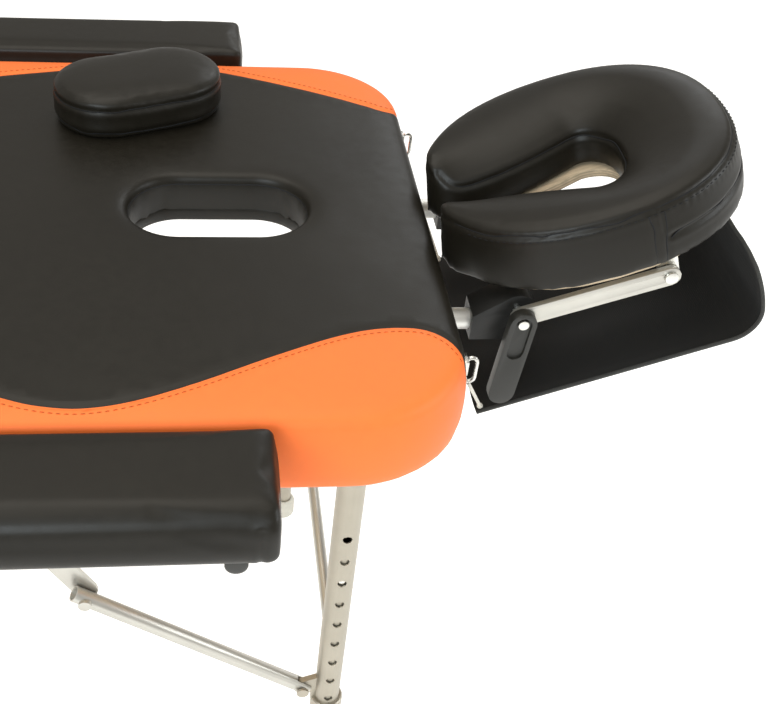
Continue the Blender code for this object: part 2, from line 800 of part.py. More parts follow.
def build_end(word, end, section):
    """One end's folding legs, struts and hangers, with their inner legs, feet and buttons."""
    centre = linkage(end, 0, 0, 0)
    legs = joint(word + "_leg_axis", centre)
    carry(legs, section)
    struts = joint(word + "_strut_axis", linkage(end, 0, STRUT_PIN_INSET, -STRUT_PIN_DROP))
    carry(struts, legs)
    struts.matrix_parent_inverse = Matrix.Translation(legs.location).inverted()
    hangers = joint(word + "_hanger_axis", linkage(end, 0, HANGER_INSET, HANGER_RISE))
    carry(hangers, section)
    reach = leg_offset(end) - LEG_RADIUS - TOUCH
    height = TABLE_HEIGHT - LEG_PIVOT_DEPTH - CROSSBAR_DROP
    crossbar = bar(
        word + "_crossbar", (leg_x(end), -reach, height), (leg_x(end), reach, height), CROSSBAR_RADIUS, 16
    )
    finish(crossbar, "aluminium")
    carry(crossbar, legs)
    for side, place in ((-1, "near"), (1, "far")):
        tag = f"{word}_{{}}_{place}"
        plate_under = build_leg_plate(tag.format("leg_plate"), end, side)
        carry(plate_under, section)
        leg = build_leg(tag.format("leg"), end, side)
        carry(leg, legs)
        carry(build_strut(tag.format("strut"), end, side), struts)
        carry(build_hanger(tag.format("hanger"), end, side), hangers)
        slide = joint(tag.format("inner_leg_axis"), (leg_x(end), side * leg_offset(end), FOOT_HEIGHT))
        carry(slide, legs)
        carry(build_inner_leg(tag.format("inner_leg"), end, side), slide)
        carry(build_foot(tag.format("foot"), end, side), slide)
        press = joint(tag.format("button_axis"), (leg_x(end), side * leg_offset(end), button_height()))
        carry(press, slide)
        carry(build_button(tag.format("button"), end, side), press)


def build_side_rails(word, end, section, bores):
    """The wooden rails inside the pad's skirt, bored where armrest tubes pass."""
    outer = HALF_WIDTH - SKIRT_WALL - TOUCH
    start = MIDDLE_X + end * (MIDDLE_GAP / 2 + SKIRT_WALL + CENTRE_RAIL_WIDTH + 0.004)
    stop = MIDDLE_X + end * (HALF_LENGTH - PAD_CORNER - 0.004)
    seat = TABLE_HEIGHT + SEAT
    for side, place in ((-1, "near"), (1, "far")):
        name = f"{word}_side_rail_{place}"
        rail = block(name, (start, side * outer, seat), (stop, side * (outer - RAIL_WIDTH), seat - RAIL_HEIGHT))
        for i, x in enumerate(bores):
            ends = [(x, side * (outer + k * RAIL_WIDTH * 2 - RAIL_WIDTH), TABLE_HEIGHT - ARM_TUBE_DEPTH) for k in (-1, 1)]
            cut(rail, bar(f"{name}_bore_{i}", *ends, ARM_TUBE_RADIUS + PLAY))
        finish(rail, "wood")
        carry(rail, section)


def notch(pad, name, start, end, radius):
    """Cuts an open slot through the skirt for a tube: a round bore with everything below it."""
    start, end = Vector(start), Vector(end)
    cut(pad, bar(name, start, end, radius))
    spread = Vector((radius, 0, 0)) if abs(end.y - start.y) > abs(end.x - start.x) else Vector((0, radius, 0))
    floor = Vector((0, 0, -0.03))
    cut(pad, block(name + "_mouth", start - spread, end + spread + floor))


def flat_cushion(name, outline_at, profile, place):
    """A filled cushion: outlines drawn in and raised by a profile of (inset, height) pairs."""
    rings = [[place @ Vector((x, y, z)) for x, y in outline_at(inset)] for inset, z in profile]
    cushion = loft(name, rings)
    finish(cushion, "black_vinyl")
    return cushion


def build_armrest(place, side, tube_x):
    """A side armrest: a long cushion on a strip and two tubes that slide in the side rail."""
    slide = joint(f"armrest_axis_{place}", spot(-ARMREST_START - ARMREST_LENGTH / 2, side * HALF_WIDTH, 0))
    near_edge = HALF_WIDTH + ARMREST_GAP
    middle = near_edge + ARMREST_WIDTH / 2
    base = ARMREST_RISE - ARMREST_DEPTH
    half_length, half_width = ARMREST_LENGTH / 2, ARMREST_WIDTH / 2

    def outline(inset):
        return rounded_box(-half_length, half_length, half_width, 0.020, 0.020, inset, 6, 6)

    d = ARMREST_DEPTH
    profile = (
        (0.0080, 0),
        (0.0022, 0.0015),
        (0.0006, 0.006),
        (0.0, d * 0.45),
        (0.0018, d * 0.72),
        (0.0065, d * 0.88),
        (0.0140, d * 0.965),
        (0.0280, d),
    )
    at = Matrix.Translation(spot(-ARMREST_START - half_length, side * middle, base))
    cushion = flat_cushion(f"armrest_cushion_{place}", outline, profile, at)
    carry(cushion, slide)
    strip_top = TABLE_HEIGHT + base - TOUCH
    strip_low = strip_top - ARM_STRIP_THICKNESS
    y_in, y_out = side * (middle - ARM_STRIP_WIDTH / 2), side * (middle + ARM_STRIP_WIDTH / 2)
    margin = ARM_POST_WIDTH / 2
    frame = block(
        f"armrest_frame_{place}",
        (min(tube_x) - margin, y_in, strip_low),
        (max(tube_x) + margin, y_out, strip_top),
    )
    tube_z = TABLE_HEIGHT - ARM_TUBE_DEPTH
    outer = near_edge + ARMREST_WIDTH - ARM_TUBE_SHORT
    for i, x in enumerate(tube_x):
        post = block(
            f"armrest_post_{place}_{i}",
            (x - margin, side * (middle - margin), tube_z),
            (x + margin, side * (middle + margin), strip_low + ARM_STRIP_THICKNESS / 2),
        )
        fuse(frame, post)
        tube = bar(
            f"armrest_tube_{place}_{i}",
            (x, side * outer, tube_z),
            (x, side * (outer - ARM_TUBE_REACH), tube_z),
            ARM_TUBE_RADIUS,
        )
        fuse(frame, tube)
    finish(frame, "aluminium")
    carry(frame, slide)


def build_plug():
    lift = joint("plug_axis", spot(-PLUG_INSET, PLUG_OFFSET, 0))
    h = PLUG_HEIGHT
    profile = (
        (0.0070, 0),
        (0.0020, 0.0015),
        (0.0, h * 0.25),
        (0.0, h * 0.62),
        (0.0012, h * 0.78),
        (0.0055, h * 0.90),
        (0.0150, h * 0.97),
        (0.0300, h),
    )

    def outline(inset):
        return obround(PLUG_LENGTH - 2 * inset, PLUG_WIDTH - 2 * inset, 12)

    at = Matrix.Translation(spot(-PLUG_INSET, PLUG_OFFSET, TOUCH)) @ Matrix.Rotation(PLUG_TURN, 4, "Z")
    carry(flat_cushion("face_hole_plug", outline, profile, at), lift)


def cradle_frame_matrix():
    """The headrest's tilted frame: X along the arms, Z square to the platform, origin on the clamps' axis."""
    return Matrix.Translation(spot(PIVOT_REACH, 0, -PIVOT_DEPTH)) @ Matrix.Rotation(-CRADLE_TILT, 4, "Y")


def horseshoe(margin, mouth, opening, count=31):
    """Inner and outer points of the headrest's plan, tip to tip, with the mouth towards the table.

    The outline is drawn in by margin; mouth and opening are the half widths of the opening at the tips and at its widest.
    """
    pairs = []
    a, b = CUSHION_HALF_LENGTH - margin, CUSHION_HALF_WIDTH - margin
    tip = CUSHION_CENTRE - a
    power = 2 / CUSHION_POWER
    for i in range(count):
        turn = math.pi * (2 * i / (count - 1) - 1) * 0.94
        c, s = math.cos(turn), math.sin(turn)
        outer = (
            CUSHION_CENTRE + a * math.copysign(abs(c) ** power, c),
            b * math.copysign(abs(s) ** power, s),
        )
        if c > 0:
            reach = OPENING_END - OPENING_CENTRE
            half = opening * abs(s) ** 0.8
        else:
            reach = OPENING_CENTRE - tip - 0.012
            half = mouth + (opening - mouth) * (1 + c) ** 2
        pairs.append(((OPENING_CENTRE + reach * c, math.copysign(half, s)), outer))
    return pairs


def build_cushion(tilted):
    """The horseshoe cushion: a crowned band swept from tip to tip with rounded tips."""
    base = PLATFORM_LIFT + PLATFORM_THICKNESS + TOUCH
    h = CUSHION_HEIGHT
    section = (
        (0.10, 0.0),
        (0.02, 0.06),
        (0.0, 0.30),
        (0.0, 0.66),
        (0.05, 0.86),
        (0.17, 0.965),
        (0.50, 1.0),
        (0.83, 0.965),
        (0.95, 0.86),
        (1.0, 0.66),
        (1.0, 0.30),
        (0.98, 0.06),
        (0.90, 0.0),
    )
    pairs = horseshoe(0.0, MOUTH_HALF_WIDTH, OPENING_HALF_WIDTH)
    last = len(pairs) - 1
    rings = []
    for i, (inner, outer) in enumerate(pairs):
        step = min(i, last - i)
        shrink = (0.72, 0.93, 1.0)[min(step, 2)]
        middle = [(p + q) / 2 for p, q in zip(inner, outer)]
        ring = []
        for share, rise in section:
            flat = [m + (p + (q - p) * share - m) * shrink for m, p, q in zip(middle, inner, outer)]
            height = base + h * (rise if step > 1 else 0.5 + (rise - 0.5) * (0.86 if step == 0 else 0.96))
            ring.append(tilted @ Vector((flat[0], flat[1], height)))
        rings.append(ring)
    cushion = loft("headrest_cushion", rings)
    finish(cushion, "black_vinyl")
    return cushion


def build_platform(tilted):
    """The plywood horseshoe under the cushion, with an ear and a bolt on each side for the arms."""
    pairs = horseshoe(PLATFORM_INSET, PLATFORM_MOUTH_HALF_WIDTH, PLATFORM_OPENING_HALF_WIDTH)
    outline = [outer for inner, outer in pairs] + [inner for inner, outer in reversed(pairs)]
    middle = PLATFORM_LIFT + PLATFORM_THICKNESS / 2
    platform = plate("headrest_platform", [outline], PLATFORM_THICKNESS, tilted @ Matrix.Translation((0, 0, middle)))
    ear_face = ARM_OFFSET - ARM_THICKNESS / 2 - SIDE_PLAY
    for side, place in ((-1, "near"), (1, "far")):
        y = side * (ear_face - ARM_THICKNESS / 2)
        outline = arc((ARM_LENGTH, 0), ARM_HALF_HEIGHT, math.pi, 2 * math.pi, 9)
        outline += [
            (ARM_LENGTH + ARM_HALF_HEIGHT, middle),
            (ARM_LENGTH - ARM_HALF_HEIGHT, middle),
        ]
        stand = tilted @ Matrix.Translation((0, y, 0)) @ Matrix.Rotation(math.pi / 2, 4, "X")
        fuse(platform, plate(f"headrest_ear_{place}", [outline], ARM_THICKNESS, stand))
        head = ARM_OFFSET + ARM_THICKNESS / 2 + PLAY
        for word, start, stop, radius in (
            ("bolt", ear_face - ARM_THICKNESS / 2, head + BOLT_HEAD_HEIGHT / 2, ARM_BOLT_RADIUS),
            ("bolt_head", head, head + BOLT_HEAD_HEIGHT, BOLT_HEAD_RADIUS),
        ):
            ends = [tilted @ Vector((ARM_LENGTH, side * v, 0)) for v in (start, stop)]
            fuse(platform, bar(f"headrest_{word}_{place}", *ends, radius, 14))
    finish(platform, "plywood")
    return platform


def build_arm(place, side, tilted):
    outlines = [
        link_outline((0, 0), (ARM_LENGTH, 0), ARM_HALF_HEIGHT),
        circle((0, 0), CROSS_PIN_RADIUS + PLAY),
        circle((ARM_LENGTH, 0), ARM_BOLT_RADIUS + PLAY),
    ]
    stand = tilted @ Matrix.Translation((0, side * ARM_OFFSET, 0)) @ Matrix.Rotation(math.pi / 2, 4, "X")
    arm = plate(f"headrest_arm_{place}", outlines, ARM_THICKNESS, stand)
    finish(arm, "aluminium")
    return arm


def build_clamp(place, side):
    """A plastic clamp that holds a rod's end and the cross pin."""
    centre = spot(PIVOT_REACH, 0, -PIVOT_DEPTH)
    low = ROD_RADIUS + 0.004 + ROD_DEPTH - PIVOT_DEPTH
    outline = [(-CLAMP_BACK, -low), (CLAMP_ROUND * 0.6, -low)]
    outline += arc((0, 0), CLAMP_ROUND, -math.pi / 3, 3 * math.pi / 4, 12)
    outline += [(-CLAMP_BACK, -ROD_DEPTH + PIVOT_DEPTH + ROD_RADIUS + 0.003)]
    outer = ARM_OFFSET - ARM_THICKNESS / 2 - SIDE_PLAY - ARM_THICKNESS - SIDE_PLAY
    y = side * (outer - CLAMP_WIDTH / 2)
    clamp = plate(f"headrest_clamp_{place}", [outline], CLAMP_WIDTH, upright(centre.x, y, centre.z))
    rod_z = -ROD_DEPTH
    bore = bar(
        f"headrest_clamp_{place}_rod_bore",
        spot(0, side * ROD_OFFSET, rod_z),
        spot(ROD_REACH + TOUCH, side * ROD_OFFSET, rod_z),
        ROD_RADIUS + TOUCH,
    )
    cut(clamp, bore)
    ends = [centre + Vector((0, side * v, 0)) for v in (ROD_OFFSET - CLAMP_WIDTH, ROD_OFFSET + CLAMP_WIDTH)]
    cut(clamp, bar(f"headrest_clamp_{place}_pin_bore", *ends, CROSS_PIN_RADIUS + TOUCH, 16))
    finish(clamp, "black_plastic")
    return clamp


def build_lever():
    """The flat cam lever: a rounded handle whose outer face has a pocket round the cross pin's near end."""
    centre = spot(PIVOT_REACH, 0, -PIVOT_DEPTH)
    lean = (-math.sin(LEVER_LEAN), -math.cos(LEVER_LEAN))
    tip = [LEVER_LENGTH * v for v in lean]
    inner_face = ARM_OFFSET + ARM_THICKNESS / 2 + SIDE_PLAY
    outer_face = inner_face + LEVER_THICKNESS
    outlines = [
        link_outline((0, 0), tip, LEVER_HALF_WIDTH, 9),
        circle((0, 0), CROSS_PIN_RADIUS + PLAY),
    ]
    middle = (inner_face + outer_face) / 2
    lever = plate("headrest_lever", outlines, LEVER_THICKNESS, upright(centre.x, -middle, centre.z))
    foot = [LEVER_POCKET * v for v in lean]
    pocket = plate(
        "headrest_lever_pocket",
        [link_outline((0, 0), foot, LEVER_HALF_WIDTH * 0.62, 7)],
        2 * LEVER_POCKET_DEPTH,
        upright(centre.x, -outer_face, centre.z),
    )
    cut(lever, pocket)
    finish(lever, "black_plastic")
    return lever


def build_sling(tilted):
    """The hanging arm sling: a sagging cloth with a curled outer lip, its strap and its two corner ties."""
    line = sling_line()
    across = 11
    shape = bmesh.new()
    rows = []
    for i, (x, z) in enumerate(line):
        share = i / (len(line) - 1)
        width = SLING_HALF_WIDTH * (1.0 if share < 0.55 else 1.0 - 0.62 * ((share - 0.55) / 0.45) ** 2.2)
        row = []
        for j in range(across):
            v = 2 * j / (across - 1) - 1
            belly = math.sin(math.pi * min(1.0, share / 0.75)) if share < 0.75 else 0.0
            fold = 0.0022 * math.sin(3.0 * math.pi * v) * (1 - share)
            row.append(shape.verts.new(spot(x, v * width, z - SLING_SAG * belly * (1 - v * v) + fold)))
        rows.append(row)
    for first, second in zip(rows, rows[1:]):
        for j in range(across - 1):
            shape.faces.new((first[j], first[j + 1], second[j + 1], second[j]))
    sling = from_bmesh("arm_sling", shape)
    thick = sling.modifiers.new("cloth", "SOLIDIFY")
    thick.thickness = SLING_THICKNESS
    thick.offset = 0
    lip = spot(line[-1][0], 0, line[-1][1] - 0.008)
    rim = CUSHION_CENTRE + CUSHION_HALF_LENGTH - PLATFORM_INSET - 0.004
    hold = tilted @ Vector((rim, 0, PLATFORM_LIFT - TOUCH))
    reach = hold - lip
    strap = bmesh.new()
    place = along(lip, hold) @ Matrix.Translation((0, 0, reach.length / 2))
    sideways = place.to_3x3().inverted() @ Vector((0, 1, 0))
    size = [STRAP_WIDTH, STRAP_THICKNESS, reach.length]
    if abs(sideways.y) > abs(sideways.x):
        size = [STRAP_THICKNESS, STRAP_WIDTH, reach.length]
    bmesh.ops.create_cube(strap, matrix=place @ Matrix.Diagonal((*size, 1)))
    fuse(sling, from_bmesh("arm_sling_strap", strap))
    for side in (-1, 1):
        corner = spot(line[0][0] + 0.006, side * (SLING_HALF_WIDTH - 0.006), line[0][1])
        ring = spot(CLIP_WIDTH / 2 + 0.003, side * CLIP_OFFSET, -CLIP_DEPTH - CLIP_LENGTH - CLIP_WIRE - TOUCH)
        fuse(sling, bar(f"arm_sling_tie_{side}", corner, ring, TIE_RADIUS, 8))
    finish(sling, "black_fabric")
    return sling


def build_clip(place, side):
    """A wire snap clip on a tab at the pad's head end."""
    middle = spot(CLIP_WIDTH / 2 + 0.003, side * CLIP_OFFSET, -CLIP_DEPTH - CLIP_LENGTH / 2)
    radius = CLIP_WIDTH / 2 - CLIP_WIRE
    half = CLIP_LENGTH / 2 - CLIP_WIDTH / 2
    path = arc((0, half), radius, 0, math.pi, 7) + arc((0, -half), radius, math.pi, 2 * math.pi, 7)
    rings = []
    for i, (x, z) in enumerate(path):
        before, after = path[i - 1], path[(i + 1) % len(path)]
        run = Vector((after[0] - before[0], 0, after[1] - before[1])).normalized()
        out = run.cross(Vector((0, 1, 0)))
        ring = []
        for k in range(8):
            turn = 2 * math.pi * k / 8
            offset = out * CLIP_WIRE * math.cos(turn) + Vector((0, CLIP_WIRE * math.sin(turn), 0))
            ring.append(middle + Vector((x, 0, z)) + offset)
        rings.append(ring)
    clip = loft(f"sling_clip_{place}", rings, closed=True)
    tab = block(
        f"sling_clip_{place}_tab",
        spot(TOUCH, side * CLIP_OFFSET - 0.007, -CLIP_DEPTH - 0.016),
        spot(0.0055, side * CLIP_OFFSET + 0.007, -CLIP_DEPTH - 0.002),
    )
    fuse(clip, tab)
    finish(clip, "steel")
    return clip


def main():
    tilted = cradle_frame_matrix()
    head = joint("head_section", spot(0, 0, 0))
    foot = joint("foot_section", (MIDDLE_X, 0, TABLE_HEIGHT - HINGE_DEPTH))

    hole_at = spot(-FACE_HOLE_INSET, 0, 0)
    tube_x = [
        HEAD_X - ARMREST_START - ARM_TUBE_INSET,
        HEAD_X - ARMREST_START - ARMREST_LENGTH + ARM_TUBE_INSET,
    ]
    head_pad = build_pad("head_pad", 1)
    rim = FACE_HOLE_RIM
    flare = ((0, -0.06), (0, -rim), (rim * 0.12, -rim * 0.5), (rim * 0.42, -rim * 0.16), (rim, 0.0005), (rim, 0.01))
    rings = [
        [
            (hole_at.x + x, y, hole_at.z + z)
            for x, y in obround(FACE_HOLE_LENGTH + 2 * grow, FACE_HOLE_WIDTH + 2 * grow, 12)
        ]
        for grow, z in flare
    ]
    cut(head_pad, loft("face_hole", rings))
    for side in (-1, 1):
        rod = [spot(x, side * ROD_OFFSET, -ROD_DEPTH) for x in (-SKIRT_WALL - 0.002, 0.01)]
        notch(head_pad, f"rod_notch_{side}", *rod, ROD_RADIUS + PLAY)
        for i, x in enumerate(tube_x):
            inner, outer = HALF_WIDTH - SKIRT_WALL - 0.002, HALF_WIDTH + 0.01
            tube = [(x, side * y, TABLE_HEIGHT - ARM_TUBE_DEPTH) for y in (inner, outer)]
            notch(head_pad, f"tube_notch_{side}_{i}", *tube, ARM_TUBE_RADIUS + PLAY)
    carry(head_pad, head)
    foot_pad = build_pad("foot_pad", -1)
    carry(foot_pad, foot)

    panel_hole = [(hole_at.x + x, y) for x, y in obround(FACE_HOLE_LENGTH, FACE_HOLE_WIDTH, 12)]
    carry(build_panel("head_panel", 1, [panel_hole]), head)
    carry(build_panel("foot_panel", -1, []), foot)
    build_side_rails("head", 1, head, tube_x)
    build_side_rails("foot", -1, foot, [])
    carry(build_centre_rail("head_centre_rail", 1), head)
    carry(build_centre_rail("foot_centre_rail", -1), foot)

    end_face = -SKIRT_WALL - TOUCH
    end_rail = block(
        "head_end_rail",
        spot(end_face, END_RAIL_EDGE - HALF_WIDTH, SEAT),
        spot(end_face - END_RAIL_WIDTH, HALF_WIDTH - END_RAIL_EDGE, -ROD_DEPTH - ROD_RADIUS - 0.005),
    )
    for side in (-1, 1):
        ends = [spot(x, side * ROD_OFFSET, -ROD_DEPTH) for x in (0, end_face - END_RAIL_WIDTH - 0.01)]
        cut(end_rail, bar(f"head_end_rail_bore_{side}", *ends, ROD_RADIUS + PLAY))
    finish(end_rail, "wood")
    carry(end_rail, head)

    build_end("head", 1, head)
    build_end("foot", -1, foot)
    for side, place in ((-1, "near"), (1, "far")):
        build_armrest(place, side, tube_x)
        carry(build_clip(place, side), head)
    build_plug()

    cradle = joint("headrest_slide_axis", spot(0, 0, -ROD_DEPTH))
    clamps = joint("headrest_tilt_axis", spot(PIVOT_REACH, 0, -PIVOT_DEPTH))
    carry(clamps, cradle)
    bolts = joint("headrest_platform_axis", tilted @ Vector((ARM_LENGTH, 0, 0)))
    carry(bolts, clamps)
    lever_end = ARM_OFFSET + ARM_THICKNESS / 2 + SIDE_PLAY + LEVER_THICKNESS
    far_end = ARM_OFFSET + ARM_THICKNESS / 2 + BOLT_HEAD_HEIGHT
    pivot = spot(PIVOT_REACH, 0, -PIVOT_DEPTH)
    pin = bar(
        "headrest_cross_pin",
        pivot + Vector((0, -lever_end, 0)),
        pivot + Vector((0, far_end, 0)),
        CROSS_PIN_RADIUS,
        16,
    )
    finish(pin, "steel")
    carry(pin, cradle)
    for side, place in ((-1, "near"), (1, "far")):
        rod = bar(
            f"headrest_rod_{place}",
            spot(ROD_REACH - ROD_LENGTH, side * ROD_OFFSET, -ROD_DEPTH),
            spot(ROD_REACH, side * ROD_OFFSET, -ROD_DEPTH),
            ROD_RADIUS,
        )
        finish(rod, "aluminium")
        carry(rod, cradle)
        carry(build_clamp(place, side), cradle)
        carry(build_arm(place, side, tilted), clamps)
    carry(build_platform(tilted), bolts)
    carry(build_cushion(tilted), bolts)
    carry(build_lever(), clamps)
    carry(build_sling(tilted), cradle)


main()
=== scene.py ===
"""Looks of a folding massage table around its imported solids: upholstery, cloth, finishes and studio."""

import math

import bmesh
import bpy
import numpy as np
from bpy.props import FloatProperty, FloatVectorProperty, PointerProperty
from mathutils import Matrix, Vector, noise
from mathutils.bvhtree import BVHTree
from mathutils.geometry import delaunay_2d_cdt
from mathutils.kdtree import KDTree


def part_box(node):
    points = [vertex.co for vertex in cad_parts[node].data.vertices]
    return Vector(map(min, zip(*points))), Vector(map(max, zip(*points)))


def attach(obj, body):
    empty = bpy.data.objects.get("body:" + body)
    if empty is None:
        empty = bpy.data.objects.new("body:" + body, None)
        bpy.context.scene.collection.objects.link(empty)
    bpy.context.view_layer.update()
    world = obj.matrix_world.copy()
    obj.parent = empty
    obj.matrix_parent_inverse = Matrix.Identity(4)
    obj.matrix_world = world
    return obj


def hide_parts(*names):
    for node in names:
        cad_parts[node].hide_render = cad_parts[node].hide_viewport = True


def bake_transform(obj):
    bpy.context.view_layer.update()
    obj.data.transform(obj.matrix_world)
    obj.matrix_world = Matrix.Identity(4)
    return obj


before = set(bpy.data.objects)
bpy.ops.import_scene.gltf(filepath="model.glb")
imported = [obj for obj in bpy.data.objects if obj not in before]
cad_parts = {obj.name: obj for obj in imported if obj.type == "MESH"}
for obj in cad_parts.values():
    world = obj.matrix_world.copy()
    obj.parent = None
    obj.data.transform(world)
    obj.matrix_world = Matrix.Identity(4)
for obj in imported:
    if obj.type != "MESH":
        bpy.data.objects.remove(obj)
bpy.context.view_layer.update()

bl_info = {
    "name": "Folding massage table looks",
    "version": (1, 0, 0),
    "blender": (4, 5, 0),
    "location": "3D View > Sidebar > Massage table",
    "description": "Dresses the packed solids of a folding massage table with upholstery, cloth and finishes",
    "category": "Object",
}

PAD_LOW, PAD_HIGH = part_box("head_pad")
FOOT_LOW, FOOT_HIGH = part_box("foot_pad")
HEAD_X = PAD_HIGH.x
PAD_TOP = PAD_HIGH.z
PAD_LENGTH = PAD_HIGH.x - PAD_LOW.x
HALF_WIDTH = PAD_HIGH.y
MM = 0.001
# Scale of the wave texture that sets its bands one metre apart, and its scale for the twist of a thread
WAVE_SCALE = 0.314
TWIST_SCALE = 3100 / 9
# Faces that meet more steeply are shown with a crease between them
CREASE_ANGLE = math.radians(55)
# Points nearer than this are one point
WELD_GAP = 0.00001


def linear(hex_colour):
    """An sRGB hex colour as linear RGBA."""
    channels = [int(hex_colour[i : i + 2], 16) / 255 for i in (1, 3, 5)]
    return tuple(c / 12.92 if c <= 0.04045 else ((c + 0.055) / 1.055) ** 2.4 for c in channels) + (1.0,)


def length(name, default, description):
    return FloatProperty(
        name=name, description=description, default=default, min=0.0, unit="LENGTH", precision=5
    )


def watts(name, default, description):
    return FloatProperty(name=name, description=description, default=default, min=0.0, unit="POWER")


def colour(name, default, description):
    return FloatVectorProperty(
        name=name, description=description, default=linear(default), size=4, subtype="COLOR", min=0.0, max=1.0
    )


class TableSizes(bpy.types.PropertyGroup):
    """Sizes of the upholstery and cloth."""

    pad_corner: length("Pad corner", 0.103, "Plan radius of the pad's outer corners")
    middle_corner: length("Middle corner", 0.012, "Plan radius of the corners beside the middle joint")
    mesh_step: length("Mesh step", 0.010, "Spacing of the pad's surface points")
    seam_depth: length("Seam depth", 0.0013, "How far a sewn seam pulls the vinyl in")
    seam_width: length("Seam width", 0.0024, "Half width of the valley along a seam")
    stitch_length: length("Stitch length", 0.0042, "Length of one visible stitch")
    stitch_gap: length("Stitch gap", 0.0018, "Gap between two stitches")
    stitch_offset: length("Stitch offset", 0.0066, "Distance of the top stitching from its seam")
    thread_radius: length("Thread radius", 0.00036, "Radius of the sewing thread")
    cushion_voxel: length("Cushion voxel", 0.0045, "Cell of the skin that the air pressure swells")
    cushion_travel: length("Cushion travel", 0.0045, "Most that a point of the skin moves when it swells")
    sling_thickness: length("Sling thickness", 0.0016, "Thickness of the sling's cloth")
    sling_hem: length("Sling hem", 0.010, "Width of the sling's doubled hem")
    tie_radius: length("Tie radius", 0.0016, "Radius of the cords that hold the sling's corners")


class TableColours(bpy.types.PropertyGroup):
    """Colours of the finishes."""

    black_vinyl: colour("Black vinyl", "#1c1913", "Main covering of pads and cushions")
    orange_vinyl: colour("Orange vinyl", "#fb7a38", "Side panels of the pads")
    orange_thread: colour("Orange thread", "#c05a26", "Top stitching on the orange panels")
    # Black thread also colours the cords sunk in the cushions' seams, which show the seams and also paint the
    # shade of their grooves
    black_thread: colour("Black thread", "#16171a", "Stitching on the black cushions")
    aluminium: colour("Aluminium", "#c8c5bd", "Struts, crossbars and tubes")
    # Painted shade: the legs' colour is the struts' aluminium made darker, for the shadow that the table
    # casts on the legs
    leg_aluminium_painted_shade: colour("Leg aluminium", "#b2ab9d", "Telescopic legs")
    steel: colour("Steel", "#e2e0da", "Pins, clips and bolts")
    rod: colour("Rod", "#f6f5f0", "Rods of the headrest")
    plywood: colour("Plywood", "#dcc6a6", "Panels and headrest platform")
    hardwood: colour("Hardwood", "#c29a6b", "Rails under the pads")
    black_plastic: colour("Black plastic", "#24231f", "Lever and tube caps")
    # Painted shade: the clamps' colour is the lever's black plastic made darker, for the clamps' darker look
    # in the light
    clamp_plastic_painted_shade: colour("Clamp plastic", "#151412", "Clamps on the headrest's rods")
    rubber: colour("Rubber", "#d6d2c6", "Feet")
    sling_cloth: colour("Sling cloth", "#131312", "Arm sling")
    webbing: colour("Webbing", "#8f9294", "Strap of the sling")
    binding: colour("Binding", "#3c3c3a", "Bound edge of the sling")
    cord: colour("Cord", "#dcd8cd", "Ties of the sling")
    floor: colour("Floor", "#f7f7f6", "Studio floor")


class StageSettings(bpy.types.PropertyGroup):
    """Camera and light."""

    camera_place: FloatVectorProperty(
        name="Camera place",
        description="Camera position",
        default=(HEAD_X - 0.23028, -0.93056, PAD_TOP + 0.5971),
        subtype="TRANSLATION",
        unit="LENGTH",
    )
    camera_turn: FloatVectorProperty(
        name="Camera turn",
        description="Yaw, pitch and roll of the camera",
        default=(-0.15115, -0.69248, 0.08999),
        subtype="EULER",
        unit="ROTATION",
    )
    lens: FloatProperty(name="Lens", description="Focal length in millimetres", default=53.632, unit="CAMERA")
    shift: FloatProperty(name="Shift", description="Sideways shift of the lens", default=0.0855)
    sky: FloatProperty(name="Sky", description="Strength of the even studio light", default=0.50)
    key: watts("Key light", 44.0, "Power of the near softbox")
    overhead: watts("Overhead light", 50.0, "Power of the overhead softbox")
    window: watts("Window light", 26.0, "Power of the window at the head")
    back: watts("Back light", 9.0, "Power of the window behind")


def sizes():
    return bpy.context.scene.table_sizes


def colours():
    return bpy.context.scene.table_colours


# Materials


def add(material, kind, links=None, **settings):
    """Adds a node. links maps a socket to a value or to another node's output."""
    tree = material.node_tree
    node = tree.nodes.new(kind)
    for name, value in settings.items():
        setattr(node, name, value)
    for socket, value in (links or {}).items():
        if isinstance(value, bpy.types.NodeSocket):
            tree.links.new(value, node.inputs[socket])
        else:
            node.inputs[socket].default_value = value
    return node


def start(name, **values):
    """A new material and its shader, with the values that hold all over the surface."""
    material = bpy.data.materials.new(name)
    material.use_nodes = True
    shader = material.node_tree.nodes["Principled BSDF"]
    for socket, value in values.items():
        shader.inputs[socket.replace("_", " ")].default_value = value
    return material, shader


def dress(material, shader, **outputs):
    """Links outputs to the shader's sockets of those names."""
    for socket, output in outputs.items():
        material.node_tree.links.new(output, shader.inputs[socket.replace("_", " ")])
    return material


def shaded(tone, factor):
    return tuple(c * factor for c in tone[:3]) + (1.0,)


def position(material):
    """Where a point of the piece is, in metres."""
    return add(material, "ShaderNodeTexCoord").outputs["Object"]


def stretched(material, place, cell):
    """A place counted in cells of their own size along each axis."""
    scale = tuple(1 / size for size in cell)
    return add(material, "ShaderNodeMapping", {"Vector": place, "Scale": scale}).outputs["Vector"]


def cloudy(material, place, size, detail):
    """Noise whose spots are about size across."""
    links = {"Vector": place, "Scale": 1 / size, "Detail": detail}
    return add(material, "ShaderNodeTexNoise", links).outputs["Fac"]


def banded(material, place, scale, direction, **more):
    """Soft bands across one direction."""
    links = {"Vector": place, "Scale": scale, **more}
    return add(material, "ShaderNodeTexWave", links, bands_direction=direction).outputs["Fac"]


def combined(material, first, second, operation):
    return add(material, "ShaderNodeMath", {0: first, 1: second}, operation=operation).outputs[0]


def spread(material, value, low, high):
    """A value between 0 and 1 as one between low and high."""
    links = {"Value": value, "To Min": low, "To Max": high}
    return add(material, "ShaderNodeMapRange", links).outputs["Result"]


def tinted(material, value, tone, dark, light, first=0.0, last=1.0):
    """The tone times dark up to the value first, and times light from the value last on."""
    ramp = add(material, "ShaderNodeValToRGB", {"Fac": value})
    stops = ramp.color_ramp.elements
    stops[0].position = first
    stops[0].color = shaded(tone, dark)
    stops[1].position = last
    stops[1].color = shaded(tone, light)
    return ramp.outputs["Color"]


